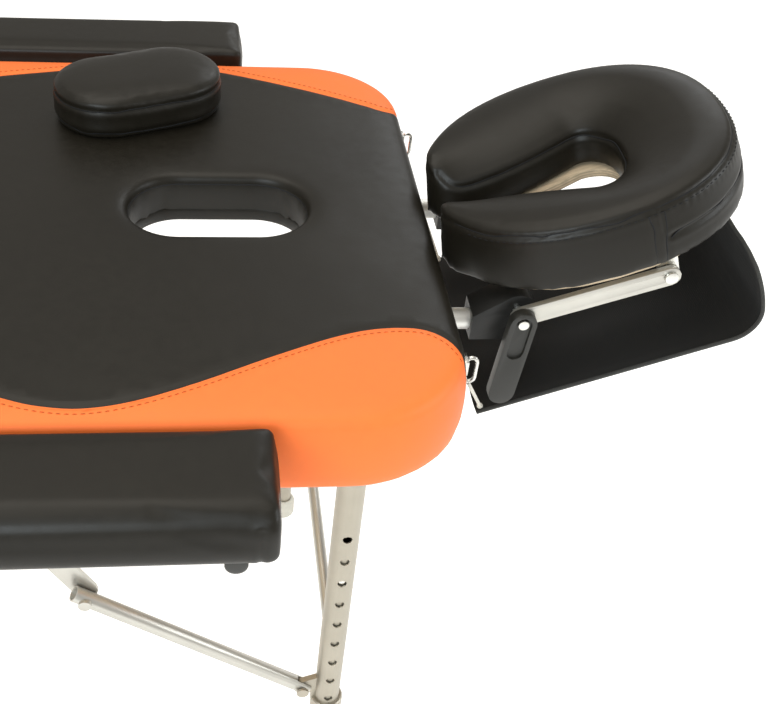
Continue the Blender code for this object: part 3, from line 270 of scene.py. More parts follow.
def dented(material, height, strength, depth, **more):
    """A normal that follows a height."""
    links = {"Height": height, "Strength": strength, "Distance": depth, **more}
    return add(material, "ShaderNodeBump", links).outputs["Normal"]


def vinyl(name, tone, gloss, mottle):
    """Calendered PVC on knit cloth: soft satin, a pressed pebble grain, slow changes where the foam gives."""
    material, shader = start(name, IOR=1.5, Specular_IOR_Level=0.27)
    place = position(material)
    # The real grain is about 0.7 mm across; it is drawn at 1.5 mm, or the render would not show it
    grain = add(material, "ShaderNodeTexVoronoi", {"Vector": place, "Scale": 1 / (1.5 * MM)})
    slow = cloudy(material, place, 140 * MM, 3.0)
    fine = cloudy(material, place, 9 * MM, 4.0)
    both = combined(material, slow, fine, "MULTIPLY")
    pebble = dented(material, grain.outputs["Distance"], 0.10, 0.25 * MM)
    return dress(
        material,
        shader,
        Base_Color=tinted(material, both, tone, 1 - mottle, 1 + mottle / 2, 0.12, 0.42),
        Roughness=spread(material, fine, gloss - 0.06, gloss + 0.09),
        Normal=dented(material, slow, 0.35, 4 * MM, Normal=pebble),
    )


def thread(name, tone):
    """Twisted polyester thread: matt, with the twist as fine slanted bands."""
    material, shader = start(name, Roughness=0.7, Specular_IOR_Level=0.3)
    # The twist of the thread is near 0.4 mm; drawn 1.8 mm apart along an axis, so that it shows
    twist = banded(material, position(material), TWIST_SCALE, "DIAGONAL", Distortion=1.0)
    return dress(material, shader, Base_Color=tinted(material, twist, tone, 0.65, 1.1))


def anodised(name, tone, rough, streak):
    """Drawn aluminium tube with a pale satin anodised skin: faint draw lines along it and a cloudy sheen."""
    material, shader = start(name, Metallic=0.82)
    place = position(material)
    # Draw lines are 0.2 mm apart on the real tube; drawn 0.8 mm apart and 60 mm long
    lines = cloudy(material, stretched(material, place, (0.8 * MM, 0.8 * MM, 60 * MM)), 1.0, 2.0)
    cloud = cloudy(material, place, 35 * MM, 5.0)
    return dress(
        material,
        shader,
        Base_Color=tinted(material, cloud, tone, 0.93, 1.03, 0.3, 0.7),
        Roughness=spread(material, lines, rough - streak, rough + streak),
        Normal=dented(material, lines, 0.05, 0.2 * MM),
    )


def plated(name, tone):
    """Zinc-plated steel: bright, slightly mottled where the plating crystals differ."""
    material, shader = start(name, Metallic=1.0)
    spots = cloudy(material, position(material), 3 * MM, 4.0)
    return dress(
        material,
        shader,
        Base_Color=tinted(material, spots, tone, 0.82, 1.05),
        Roughness=spread(material, spots, 0.16, 0.36),
    )


def moulded(name, tone, rough):
    """Injection-moulded plastic from a spark-eroded tool: even fine speckle and a dull shine."""
    material, shader = start(name, IOR=1.53, Specular_IOR_Level=0.45)
    place = position(material)
    # The tool's speckle is about 0.15 mm; drawn at 0.7 mm
    speckle = cloudy(material, place, 0.7 * MM, 2.0)
    flow = cloudy(material, place, 30 * MM, 2.0)
    return dress(
        material,
        shader,
        Base_Color=tinted(material, flow, tone, 0.8, 1.2),
        Roughness=spread(material, speckle, rough - 0.08, rough + 0.1),
        Normal=dented(material, speckle, 0.12, 0.15 * MM),
    )


def timber(name, tone, tilt, bands):
    """Sanded birch or beech: long grain on the faces, and ply layers on the edges where bands are wanted."""
    material, shader = start(name, IOR=1.5)
    turn = {"Vector": position(material), "Rotation": (0.0, tilt, 0.0)}
    level = add(material, "ShaderNodeMapping", turn).outputs["Vector"]
    # Growth rings 2.5 mm wide and about 120 mm long in the face
    grain = cloudy(material, stretched(material, level, (120 * MM, 2.5 * MM, 2.5 * MM)), 1.0, 6.0)
    face = tinted(material, grain, tone, 0.74, 1.08, 0.3, 0.68)
    if bands:
        # One light and one dark veneer, each about 1.5 mm
        layers = banded(material, level, WAVE_SCALE / (3 * MM), "Z", Distortion=0.4, Detail=1.0)
        # Sockets of the colour mix, by number: factor, first and second colour
        mix = {0: 0.32, 6: face, 7: layers}
        face = add(material, "ShaderNodeMix", mix, data_type="RGBA", blend_type="MULTIPLY").outputs[2]
    return dress(
        material,
        shader,
        Base_Color=face,
        Roughness=spread(material, grain, 0.52, 0.74),
        Normal=dented(material, grain, 0.12, 0.3 * MM),
    )


def woven(name, tone, pitch, sheen):
    """Plain-woven polyester: crossing threads, a dry face and a little fuzz that catches light at edges."""
    material, shader = start(name, Specular_IOR_Level=0.3, Sheen_Weight=sheen, Sheen_Roughness=0.5)
    place = position(material)
    across = banded(material, place, WAVE_SCALE / pitch, "Y")
    along = banded(material, place, WAVE_SCALE / pitch, "X")
    cross = combined(material, across, along, "MAXIMUM")
    worn = cloudy(material, place, 45 * MM, 5.0)
    both = combined(material, cross, worn, "MULTIPLY")
    return dress(
        material,
        shader,
        Base_Color=tinted(material, both, tone, 0.6, 1.25, 0.1, 0.6),
        Roughness=spread(material, worn, 0.68, 0.9),
        Normal=dented(material, cross, 0.3, 0.3 * MM),
    )


def rubber(name, tone):
    """Moulded thermoplastic rubber: matt and slightly dusty."""
    material, shader = start(name, Specular_IOR_Level=0.3)
    dust = cloudy(material, position(material), 6 * MM, 5.0)
    return dress(
        material,
        shader,
        Base_Color=tinted(material, dust, tone, 0.78, 1.05),
        Roughness=spread(material, dust, 0.6, 0.85),
    )


CRADLE_TILT = math.radians(20)
FINISHES = {}


def finish(name):
    """The material of that name, made on first use."""
    if name not in FINISHES:
        c = colours()
        made = {
            "black_vinyl": lambda: vinyl("black_pvc_vinyl", c.black_vinyl, 0.40, 0.14),
            "orange_vinyl": lambda: vinyl("orange_pvc_vinyl", c.orange_vinyl, 0.5, 0.04),
            "orange_thread": lambda: thread("orange_polyester_thread", c.orange_thread),
            "black_thread": lambda: thread("black_polyester_thread", c.black_thread),
            "aluminium": lambda: anodised("pale_anodised_aluminium", c.aluminium, 0.36, 0.07),
            # Painted shade: the legs get a darker copy of the struts' aluminium, for the table's shadow on
            # them
            "leg": lambda: anodised("anodised_aluminium_painted_shade", c.leg_aluminium_painted_shade, 0.42, 0.07),
            "rod": lambda: anodised("bright_drawn_aluminium", c.rod, 0.45, 0.05),
            "steel": lambda: plated("zinc_plated_steel", c.steel),
            "plywood": lambda: timber("birch_plywood", c.plywood, 0.0, True),
            "platform": lambda: timber("birch_plywood_headrest", c.plywood, CRADLE_TILT, True),
            "hardwood": lambda: timber("sawn_beech", c.hardwood, 0.0, False),
            "plastic": lambda: moulded("black_abs", c.black_plastic, 0.42),
            # Painted shade: the clamps get a darker copy of the lever's black plastic
            "clamp": lambda: moulded("black_plastic_painted_shade", c.clamp_plastic_painted_shade, 0.48),
            "rubber": lambda: rubber("off_white_rubber", c.rubber),
            # Threads of the real cloth are 0.5 mm apart; drawn 1.6 mm apart
            "cloth": lambda: woven("black_woven_polyester", c.sling_cloth, 1.6 * MM, 0.03),
            "binding": lambda: woven("grey_bias_binding", c.binding, 1.4 * MM, 0.05),
            "webbing": lambda: woven("grey_webbing", c.webbing, 1.8 * MM, 0.1),
            "cord": lambda: woven("pale_braided_cord", c.cord, 1.4 * MM, 0.1),
        }
        FINISHES[name] = made[name]()
    return FINISHES[name]


# Mesh helpers


def mesh_object(name, points, faces, materials, slots=None, sharp=CREASE_ANGLE):
    """A smooth-shaded mesh from points and faces, with creases where faces meet more steeply than sharp."""
    mesh = bpy.data.meshes.new(name)
    mesh.from_pydata([tuple(p) for p in points], [], [tuple(f) for f in faces])
    for material in materials:
        mesh.materials.append(finish(material))
    if slots is not None:
        mesh.polygons.foreach_set("material_index", slots)
    mesh.polygons.foreach_set("use_smooth", [True] * len(mesh.polygons))
    mesh.update()
    if sharp:
        mesh.set_sharp_from_angle(angle=sharp)
    obj = bpy.data.objects.new(name, mesh)
    bpy.context.scene.collection.objects.link(obj)
    return obj


def outward(obj):
    """Turns every face of a closed mesh to the outside."""
    shape = bmesh.new()
    shape.from_mesh(obj.data)
    bmesh.ops.recalc_face_normals(shape, faces=shape.faces)
    shape.to_mesh(obj.data)
    shape.free()
    return obj


def solid(name, shape, material, sharp=CREASE_ANGLE):
    """A closed mesh of one finish from its (points, faces)."""
    return outward(mesh_object(name, *shape, [material], sharp=sharp))


def smooth_path(points, step):
    """A Catmull-Rom curve through points, sampled about every step."""
    points = [Vector(p) for p in points]
    ends = [points[0] * 2 - points[1], *points, points[-1] * 2 - points[-2]]
    path = []
    for a, b, c, d in zip(ends, ends[1:], ends[2:], ends[3:]):
        count = max(1, round((c - b).length / step))
        for i in range(count):
            t = i / count
            bend, twist = 2 * a - 5 * b + 4 * c - d, 3 * b - a - 3 * c + d
            path.append(0.5 * (2 * b + (c - a) * t + bend * t * t + twist * t**3))
    return path + [points[-1]]


def spaced(path, step, closed=False):
    """The path's points again, about every step along it."""
    path = [Vector(p) for p in path]
    if closed:
        path = path + [path[0]]
    lengths = [0.0]
    for a, b in zip(path, path[1:]):
        lengths.append(lengths[-1] + (b - a).length)
    count = max(2, round(lengths[-1] / step))
    wanted = np.linspace(0, lengths[-1], count + 1)[: count if closed else count + 1]
    columns = [np.interp(wanted, lengths, [p[k] for p in path]) for k in range(len(path[0]))]
    return [Vector(p) for p in zip(*columns)]


def arc(centre, radius, first, last, count):
    turns = [first + (last - first) * i / (count - 1) for i in range(count)]
    return [(centre[0] + radius * math.cos(t), centre[1] + radius * math.sin(t)) for t in turns]


def sweep(path, radii, sides=8, closed=False):
    """Points and faces of a round tube along a path, with a radius for each point."""
    path = [Vector(p) for p in path]
    count = len(path)
    points, faces = [], []
    side = None
    for i, p in enumerate(path):
        before = path[i - 1] if closed or i else path[i]
        after = path[(i + 1) % count] if closed or i < count - 1 else path[i]
        run = (after - before).normalized()
        if side is None:
            side = run.orthogonal().normalized()
        side = (side - run * side.dot(run)).normalized()
        other = run.cross(side)
        for k in range(sides):
            turn = 2 * math.pi * k / sides
            points.append(p + (side * math.cos(turn) + other * math.sin(turn)) * radii[i])
    for i in range(count if closed else count - 1):
        for k in range(sides):
            a, b = i * sides + k, i * sides + (k + 1) % sides
            c, d = (i + 1) % count * sides + (k + 1) % sides, (i + 1) % count * sides + k
            faces.append((a, b, c, d))
    if not closed:
        faces.append(tuple(reversed(range(sides))))
        faces.append(tuple((count - 1) * sides + k for k in range(sides)))
    return points, faces


def together(shapes):
    """Several (points, faces) as one."""
    points, faces = [], []
    for some, more in shapes:
        base = len(points)
        points.extend(some)
        faces.extend(tuple(i + base for i in f) for f in more)
    return points, faces


def spot_tree(path):
    """A search tree of a path's points, in plan or in space."""
    tree = KDTree(len(path))
    for i, p in enumerate(path):
        tree.insert(Vector(p).to_3d(), i)
    tree.balance()
    return tree


def stitches(path, lift):
    """Short round stitches along a path, each lifted in its middle by lift(point)."""
    s = sizes()
    pitch = s.stitch_length + s.stitch_gap
    fine = spaced(path, pitch / 8)
    radius = s.thread_radius
    shapes = []
    for i in range(0, len(fine) - 6, 8):
        run = fine[i : i + 6]
        bow = [0.0, 0.8, 1.0, 1.0, 0.8, 0.0]
        points = [p + lift(p) * radius * 0.9 * b for p, b in zip(run, bow)]
        shapes.append(sweep(points, [radius * k for k in (0.45, 0.9, 1.0, 1.0, 0.9, 0.45)], 6))
    return together(shapes)


def applied(obj):
    """Gives obj the mesh that its modifiers make."""
    graph = bpy.context.evaluated_depsgraph_get()
    mesh = bpy.data.meshes.new_from_object(obj.evaluated_get(graph))
    obj.modifiers.clear()
    obj.data = mesh
    return obj


def swell(obj, voxel, travel, floor_z, pressure=4.0):
    """Stuffed vinyl from a plain solid: an even skin, air pressure with the base held, and one subdivision.

    floor_z(point) says how far a point is above the piece's base.
    """
    looks = list(obj.data.materials)
    skin = obj.modifiers.new("skin", "REMESH")
    skin.mode = "VOXEL"
    skin.voxel_size = voxel
    applied(obj)
    rest = np.array([v.co for v in obj.data.vertices])
    scene = bpy.context.scene
    held = [v.index for v in obj.data.vertices if floor_z(v.co) < voxel]
    obj.vertex_groups.new(name="base").add(held, 1.0, "REPLACE")
    cloth = obj.modifiers.new("air", "CLOTH")
    cloth.settings.quality = 4
    cloth.settings.mass = 0.25
    cloth.settings.tension_stiffness = 25
    cloth.settings.compression_stiffness = 25
    cloth.settings.bending_stiffness = 3
    cloth.settings.use_pressure = True
    cloth.settings.uniform_pressure_force = pressure
    cloth.settings.effector_weights.gravity = 0
    cloth.settings.vertex_group_mass = "base"
    cloth.collision_settings.use_collision = False
    for step in range(1, 21):
        scene.frame_set(step)
    seen = obj.evaluated_get(bpy.context.evaluated_depsgraph_get()).to_mesh()
    moved = np.array([v.co for v in seen.vertices]) - rest
    reach = np.linalg.norm(moved, axis=1, keepdims=True)
    # Points slow down as they near the cap, so no step shows where it starts
    rest = rest + moved / np.maximum(reach, 1e-9) * travel * np.tanh(reach / travel)
    obj.modifiers.clear()
    obj.vertex_groups.clear()
    scene.frame_set(1)
    obj.data.vertices.foreach_set("co", rest.ravel())
    obj.data.update()
    even = obj.modifiers.new("even", "SMOOTH")
    even.iterations = 2
    even.factor = 0.4
    finer = obj.modifiers.new("finer", "SUBSURF")
    finer.levels = finer.render_levels = 1
    applied(obj)
    obj.data.materials.clear()
    for look in looks:
        obj.data.materials.append(look)
    obj.data.polygons.foreach_set("use_smooth", [True] * len(obj.data.polygons))
    return obj


def smooth_loop(line, rounds, closed=True):
    """A line with its small steps evened out."""
    count = len(line)
    for _ in range(rounds):
        even = [(line[i - 1] + line[i] * 2 + line[(i + 1) % count]) / 4 for i in range(count)]
        line = even if closed else [line[0], *even[1:-1], line[-1]]
    return line


def settle(obj, path):
    """The path laid on the object's surface, with the surface's normals."""
    tree = BVHTree.FromPolygons([v.co for v in obj.data.vertices], [p.vertices for p in obj.data.polygons])
    found = [tree.find_nearest(Vector(p)) for p in path]
    return [f[0] for f in found], [f[1] for f in found]


def crease(obj, path, depth, width):
    """Pulls the surface in along a seam and lets it puff a little beside it."""
    tree = spot_tree(path)
    normals = [v.normal.copy() for v in obj.data.vertices]
    for v, normal in zip(obj.data.vertices, normals):
        away = tree.find(v.co)[2]
        if away < 6 * width:
            v.co -= normal * depth * math.exp(-((away / width) ** 2))
            v.co += normal * depth * 0.25 * math.exp(-(((away - 2.6 * width) / (1.2 * width)) ** 2))
    obj.data.update()


def seam(obj, path, closed=False, depth=1.0):
    """Sews a seam into a cushion: presses a valley and gives a dark cord in it, as points and faces; the cord
    is the seam's thread and also painted shade for the narrow groove, which the mesh is too coarse to shade.
    """
    s = sizes()
    line, normals = settle(obj, spaced(path, 0.0012, closed))
    crease(obj, line, s.seam_depth * depth, s.seam_width)
    line, normals = settle(obj, spaced(path, 0.0025, closed))
    line = [p - n * 0.0002 for p, n in zip(smooth_loop(line, 12, closed), normals)]
    return sweep(line, [s.thread_radius * 1.6] * len(line), 6, closed)


def loft(rings, closed=False):
    """Points and faces of a solid through rings of equal count, with end faces unless it is closed."""
    count = len(rings[0])
    points = [p for ring in rings for p in ring]
    faces = []
    for i in range(len(rings) if closed else len(rings) - 1):
        j = (i + 1) % len(rings)
        for k in range(count):
            m = (k + 1) % count
            faces.append((i * count + k, i * count + m, j * count + m, j * count + k))
    if not closed:
        faces.append(tuple(reversed(range(count))))
        faces.append(tuple((len(rings) - 1) * count + k for k in range(count)))
    return points, faces


def rounded_box(low, high, half, low_radius, high_radius, inset, low_count, high_count):
    """A rectangle's outline with its own corner radius at each end, drawn in by inset."""
    low, high, half = low + inset, high - inset, half - inset
    a, b = max(low_radius - inset, 0.002), max(high_radius - inset, 0.002)
    quarter = math.pi / 2
    return (
        arc((high - b, half - b), b, 0, quarter, high_count)
        + arc((low + a, half - a), a, quarter, 2 * quarter, low_count)
        + arc((low + a, a - half), a, 2 * quarter, 3 * quarter, low_count)
        + arc((high - b, b - half), b, 3 * quarter, 4 * quarter, high_count)
    )


def obround(length_, width, count):
    reach, radius = (length_ - width) / 2, width / 2
    half = math.pi / 2
    return arc((reach, 0), radius, -half, half, count) + arc((-reach, 0), radius, half, 3 * half, count)


# The pads

# The wavy seams between the black top and the orange sides, in millimetres: in from the pad's outer edge,
# and out from the middle line
NEAR_WAVE = (
    (-14, 252),
    (-2, 232),
    (8, 214),
    (18, 200),
    (34, 189),
    (56, 186),
    (83, 189),
    (109, 197),
    (135, 208),
    (162, 221),
    (186, 233),
    (211, 246),
    (235, 257),
    (259, 267),
    (288, 275.5),
    (317, 278.5),
    (348, 274),
    (378, 263.5),
    (430, 243),
    (505, 222),
    (600, 204),
    (720, 197),
    (830, 204),
    (945, 216),
)
FAR_WAVE = (
    (-14, 198),
    (3, 190),
    (20, 188),
    (44, 200),
    (75, 216),
    (107, 232),
    (150, 252),
    (190, 269),
    (228, 279),
    (265, 282),
    (308, 279),
    (350, 270),
    (389, 260),
    (430, 250),
    (505, 227),
    (600, 206),
    (720, 197),
    (830, 204),
    (945, 216),
)
HOLE_INSET = 0.202
HOLE_LENGTH = 0.168
HOLE_WIDTH = 0.097
# Radius of the seam round the hole, and how deep it lies
HOLE_SEAM = 0.0007
HOLE_SEAM_DEPTH = 0.0108
SKIRT_WALL = 0.012


def wave_path(side, step):
    """A side's wave as (out from the middle joint, across), in metres."""
    wave = NEAR_WAVE if side < 0 else FAR_WAVE
    return smooth_path([(PAD_LENGTH - e * MM, side * y * MM) for e, y in wave], step)


def edge_inset(u, y, s):
    """How far a plan point is inside the pad's outline; u runs from the middle joint outwards."""
    radius = np.where(u > PAD_LENGTH / 2, s.pad_corner, s.middle_corner)
    across = np.abs(u - PAD_LENGTH / 2) - PAD_LENGTH / 2 + radius
    beside = np.abs(y) - HALF_WIDTH + radius
    outside = np.hypot(np.maximum(across, 0), np.maximum(beside, 0))
    return radius - outside - np.minimum(np.maximum(across, beside), 0)


def hole_gap(u, y):
    """How far a plan point is outside the face hole's wall."""
    reach = (HOLE_LENGTH - HOLE_WIDTH) / 2
    along = u - (PAD_LENGTH - HOLE_INSET)
    return np.hypot(along - np.clip(along, -reach, reach), y) - HOLE_WIDTH / 2


def unevenness(points, cell, amount, seed):
    """Slow rises and dips, as foam under vinyl has them."""
    return np.array([noise.noise(Vector((p[0] / cell, p[1] / cell, seed))) for p in points]) * amount


class PadSurface:
    """The height of one pad's top, below its highest level."""

    def __init__(self, has_hole, seed):
        self.s = sizes()
        self.has_hole = has_hole
        self.seed = seed
        self.waves = {side: wave_path(side, 0.0015) for side in (-1, 1)}
        self.tree = spot_tree(self.waves[-1] + self.waves[1])

    def height(self, points):
        points = np.asarray(points, float)
        u, y = points[:, 0], points[:, 1]
        inset = np.maximum(edge_inset(u, y, self.s), 0.0012)
        # A soft edge: steep at the outline and flat about 30 mm in
        z = np.minimum(0.0006 - 5.4e-5 / (inset + 0.00079), 0)
        calm = np.clip((inset - 0.004) / 0.03, 0, 1)
        if self.has_hole:
            # A smaller one round the hole, flat 18 mm out
            gap = np.clip(hole_gap(u, y), 0.0002, 0.018)
            z = z - 2.22e-5 * (1 / (gap + 0.002) - 1 / 0.020)
            calm = calm * np.clip((hole_gap(u, y) - 0.002) / 0.02, 0, 1)
        slow = unevenness(points, 0.11, 0.0007, self.seed)
        z = z + calm * (slow + unevenness(points, 0.035, 0.0002, self.seed + 5))
        away = np.array([self.tree.find((a, b, 0))[2] for a, b in points])
        width = self.s.seam_width
        z = z - self.s.seam_depth * np.exp(-((away / width) ** 2))
        z = z + self.s.seam_depth * 0.3 * np.exp(-(((away - 2.6 * width) / (1.3 * width)) ** 2))
        return z - 0.0005

    def is_orange(self, u, y):
        """Whether a plan point is beyond its side's wave."""
        lines = {}
        for side, wave in self.waves.items():
            back = wave[::-1]
            lines[side] = np.interp(u, [p.x for p in back], [abs(p.y) for p in back])
        return np.abs(y) > np.where(y < 0, lines[-1], lines[1])


def pad_outline(inset, s):
    loop = rounded_box(0, PAD_LENGTH, HALF_WIDTH, s.middle_corner, s.pad_corner, inset, 7, 20)
    return [tuple(p) for p in spaced(loop, s.mesh_step * 0.8, closed=True)]


def hole_outline(gap):
    loop = obround(HOLE_LENGTH + 2 * gap, HOLE_WIDTH + 2 * gap, 40)
    centre = PAD_LENGTH - HOLE_INSET
    return [(centre + p[0], p[1]) for p in spaced(loop, 0.0042, closed=True)]


EDGE_LOOPS = (0.0026, 0.0036, 0.0050, 0.0070, 0.0098, 0.0138, 0.0195, 0.0285)
HOLE_LOOPS = (0.0005, 0.0013, 0.0026, 0.0046, 0.0078, 0.0125, 0.0185)
# Inset and height of the side wall, the turned hem and the wall's inner face, from the edge downwards
SKIRT = (
    (0.0008, -0.0230),
    (-0.0008, -0.0310),
    (-0.0018, -0.0400),
    (-0.0022, -0.0500),
    (-0.0018, -0.0600),
    (-0.0002, -0.0690),
    (0.0030, -0.0735),
    (0.0060, -0.0745),
    (0.0120, -0.0745),
    (0.0120, -0.0410),
)
HOLE_WALL = (
    (0.0, -0.0105),
    (-0.0004, -0.0160),
    (-0.0006, -0.0230),
    (-0.0004, -0.0300),
    (0.0, -0.0360),
    (0.0, -0.0410),
)
# Section of the vinyl that is turned down through the board and stapled under it: gap from the hole's wall,
# and height
HOLE_LINING = (
    (0.0002, -0.0385),
    (-0.0006, -0.0400),
    (-0.0008, -0.0450),
    (-0.0006, -0.0505),
    (0.0010, -0.0522),
    (0.0140, -0.0518),
    (0.0148, -0.0508),
    (0.0010, -0.0506),
    (-0.0002, -0.0495),
    (-0.0002, -0.0420),
)


def beside(path, offset):
    """A plan path drawn off to its left."""
    line = []
    for i, p in enumerate(path):
        run = (path[min(i + 1, len(path) - 1)] - path[max(i - 1, 0)]).normalized()
        line.append(Vector((p.x - run.y * offset, p.y + run.x * offset)))
    return line


def plan_triangles(surface):
    """A triangulated plan of the pad's top whose edges follow the outline, the hole and the seams."""
    s = surface.s
    loops = [pad_outline(inset, s) for inset in EDGE_LOOPS]
    if surface.has_hole:
        loops += [hole_outline(gap) for gap in HOLE_LOOPS]
    lines = []
    for side in (-1, 1):
        path = wave_path(side, 0.006)
        lines += [beside(path, off * s.seam_width) for off in (-2.4, -1, 0, 1, 2.4)]
    points, edges = [], []
    for loop in loops:
        base = len(points)
        points += loop
        edges += [(base + i, base + (i + 1) % len(loop)) for i in range(len(loop))]
    for line in lines:
        base = len(points)
        points += line
        edges += [(base + i, base + i + 1) for i in range(len(line) - 1)]
    columns = round(PAD_LENGTH / s.mesh_step)
    rows = round(2 * HALF_WIDTH / (s.mesh_step * 0.87))
    grid = [
        ((i + 0.5 * (j % 2)) * s.mesh_step, -HALF_WIDTH + j * s.mesh_step * 0.87)
        for i in range(columns + 1)
        for j in range(rows + 1)
    ]
    spots = np.array(grid)
    inside = edge_inset(spots[:, 0], spots[:, 1], s) > EDGE_LOOPS[-1] + 0.004
    if surface.has_hole:
        inside &= hole_gap(spots[:, 0], spots[:, 1]) > HOLE_LOOPS[-1] + 0.004
    away = np.array([surface.tree.find((a, b, 0))[2] for a, b in grid])
    inside &= away > 3.4 * s.seam_width
    points += [tuple(p) for p in spots[inside]]
    made = delaunay_2d_cdt([Vector(p) for p in points], edges, [], 0, 1e-6, False)
    plan = np.array([tuple(p) for p in made[0]])
    faces = np.array(made[2])
    middle = plan[faces].mean(axis=1)
    keep = edge_inset(middle[:, 0], middle[:, 1], s) > EDGE_LOOPS[0] - 2e-5
    if surface.has_hole:
        keep &= hole_gap(middle[:, 0], middle[:, 1]) > HOLE_LOOPS[0] - 2e-5
    return plan, faces[keep]


def rims(faces):
    """The open edges of a triangulation, as ordered loops."""
    seen = {}
    for face in faces:
        for a, b in zip(face, (face[1], face[2], face[0])):
            seen[(int(a), int(b))] = True
    after = {a: b for a, b in seen if (b, a) not in seen}
    loops = []
    while after:
        first = next(iter(after))
        loop = [first]
        step = after.pop(first)
        while step != first:
            loop.append(step)
            step = after.pop(step)
        loops.append(loop)
    return sorted(loops, key=len, reverse=True)


def ramp(value, first, run):
    """0 up to first, then rising to 1 over run."""
    return max(0.0, min(1.0, (value - first) / run))


def pad_mesh(name, end, has_hole, seed):
    """One upholstered half as a closed mesh: top, soft edge, skirt with its hem, and the hole's wall."""
    surface = PadSurface(has_hole, seed)
    plan, faces = plan_triangles(surface)
    loops = rims(faces)
    used = sorted(set(faces.ravel().tolist()))
    fresh = {old: new for new, old in enumerate(used)}
    faces = [[fresh[int(i)] for i in face] for face in faces]
    loops = [[fresh[i] for i in loop] for loop in loops]
    plan = plan[used]
    points = [(p[0], p[1], z) for p, z in zip(plan, surface.height(plan))]
    centres = np.array([plan[face].mean(axis=0) for face in faces])
    slots = [int(x) for x in surface.is_orange(centres[:, 0], centres[:, 1])]

    def wall(loop, profile, first_offset, outwards, ripple):
        """Rings that hang from an open edge, each drawn out or in along the edge's normals."""
        ring = [Vector(plan[i]) for i in loop]
        count = len(ring)
        normals = []
        for i in range(count):
            run = ring[(i + 1) % count] - ring[i - 1]
            normals.append(Vector((run.y, -run.x)).normalized() * outwards)
        middle = [(ring[i] + ring[(i + 1) % count]) / 2 for i in range(count)]
        tints = surface.is_orange(np.array([m.x for m in middle]), np.array([m.y for m in middle]))
        last = loop
        for inset, z in profile:
            base = len(points)
            for i in range(count):
                out = first_offset - inset + ripple(ring[i], z)
                p = ring[i] + normals[i] * out
                points.append((p.x, p.y, z))
            row = list(range(base, base + count))
            for i in range(count):
                j = (i + 1) % count
                faces.append([last[j], last[i], row[i], row[j]])
                slots.append(int(tints[i]))
            last = row
        return last

    def skirt_ripple(p, z):
        """Gathers that grow towards the hem at the round corners."""
        corner = ramp(p.x - PAD_LENGTH, -0.13, 0.05) * ramp(abs(p.y), 0.17, 0.05)
        hem, inner_face = SKIRT[-4][1], SKIRT[-1][1]
        drop = 0.0 if z < hem or z == inner_face else ramp(-z, 0.03, 0.04)
        slow = noise.noise(Vector((p.x / 0.05, p.y / 0.05, seed + z / 0.03))) * 0.0005
        return slow * drop + corner * drop * 0.00015 * math.sin((p.x - p.y * math.copysign(1, p.y)) / 0.0045)

    def hole_ripple(p, z):
        """Upright pleats where the lining turns round the hole's ends."""
        along = abs(p.x - (PAD_LENGTH - HOLE_INSET)) - 0.03
        share = ramp(along, 0.0, 0.02) * ramp(-z, 0.010, 0.01)
        return share * 0.0014 * noise.noise(Vector((p.x / 0.008, p.y / 0.008, 3.0)))

    bottoms = [wall(loops[0], SKIRT, EDGE_LOOPS[0], 1, skirt_ripple)]
    if has_hole:
        bottoms.append(wall(loops[1], HOLE_WALL, HOLE_LOOPS[0], 1, hole_ripple))
    flat = [Vector(points[i][:2]) for loop in bottoms for i in loop]
    edges, base = [], 0
    for loop in bottoms:
        edges += [(base + i, base + (i + 1) % len(loop)) for i in range(len(loop))]
        base += len(loop)
    made = delaunay_2d_cdt(flat, edges, [], 0, 1e-7, False)
    index = [i for loop in bottoms for i in loop]
    for face in made[2]:
        middle = sum((made[0][i] for i in face), Vector((0, 0))) / 3
        inside = edge_inset(middle.x, middle.y, surface.s) > SKIRT_WALL
        if inside and (not has_hole or hole_gap(middle.x, middle.y) > 0):
            faces.append([index[i] for i in reversed(face)])
            slots.append(0)
    joint_x = PAD_LOW.x if end > 0 else FOOT_HIGH.x
    placed = [(joint_x + end * x, y, PAD_TOP + z) for x, y, z in points]
    if end < 0:
        faces = [face[::-1] for face in faces]
    pad = mesh_object(name, placed, faces, ["black_vinyl", "orange_vinyl"], slots, math.radians(62))
    return pad, surface, joint_x


class MASSAGE_OT_pads(bpy.types.Operator):
    """The two upholstered halves with their orange sides and top stitching"""

    bl_idname = "massage_table.pads"
    bl_label = "Pads"

    def execute(self, context):
        s = sizes()
        for name, node, body, end, seed in (
            ("head_pad_cover", "head_pad", "head_section", 1, 11.0),
            ("foot_pad_cover", "foot_pad", "foot_section", -1, 37.0),
        ):
            pad, surface, joint_x = pad_mesh(name, end, end > 0, seed)
            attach(pad, body)
            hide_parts(node)
            rows = []
            for side in (-1, 1):
                line = beside(wave_path(side, 0.004), -side * s.stitch_offset)
                line = [p for p in line if float(edge_inset(p.x, p.y, s)) > 0.006]
                level = PAD_TOP - s.thread_radius * 0.3
                raised = [(joint_x + end * p.x, p.y, level + z) for p, z in zip(line, surface.height(line))]
                rows.append(stitches(raised, lambda p: Vector((0, 0, 1))))
            sewn = solid(name.replace("cover", "stitching"), together(rows), "orange_thread")
            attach(sewn, body)
        rings = []
        for gap, z in HOLE_LINING:
            loop = obround(HOLE_LENGTH + 2 * gap, HOLE_WIDTH + 2 * gap, 48)
            rings.append([(HEAD_X - HOLE_INSET + x, y, PAD_TOP + z) for x, y in loop])
        lining = solid("face_hole_lining", loft(rings, closed=True), "black_vinyl")
        loop = obround(HOLE_LENGTH + 0.0006, HOLE_WIDTH + 0.0006, 48)
        rim = [(HEAD_X - HOLE_INSET + x, y, PAD_TOP - HOLE_SEAM_DEPTH) for x, y in loop]
        rim = spaced(rim, 0.004, closed=True)
        sewn = solid("face_hole_seam", sweep(rim, [HOLE_SEAM] * len(rim), 8, closed=True), "black_thread")
        for piece in (lining, sewn):
            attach(piece, "head_section")
        return {"FINISHED"}


# Armrests and the plug


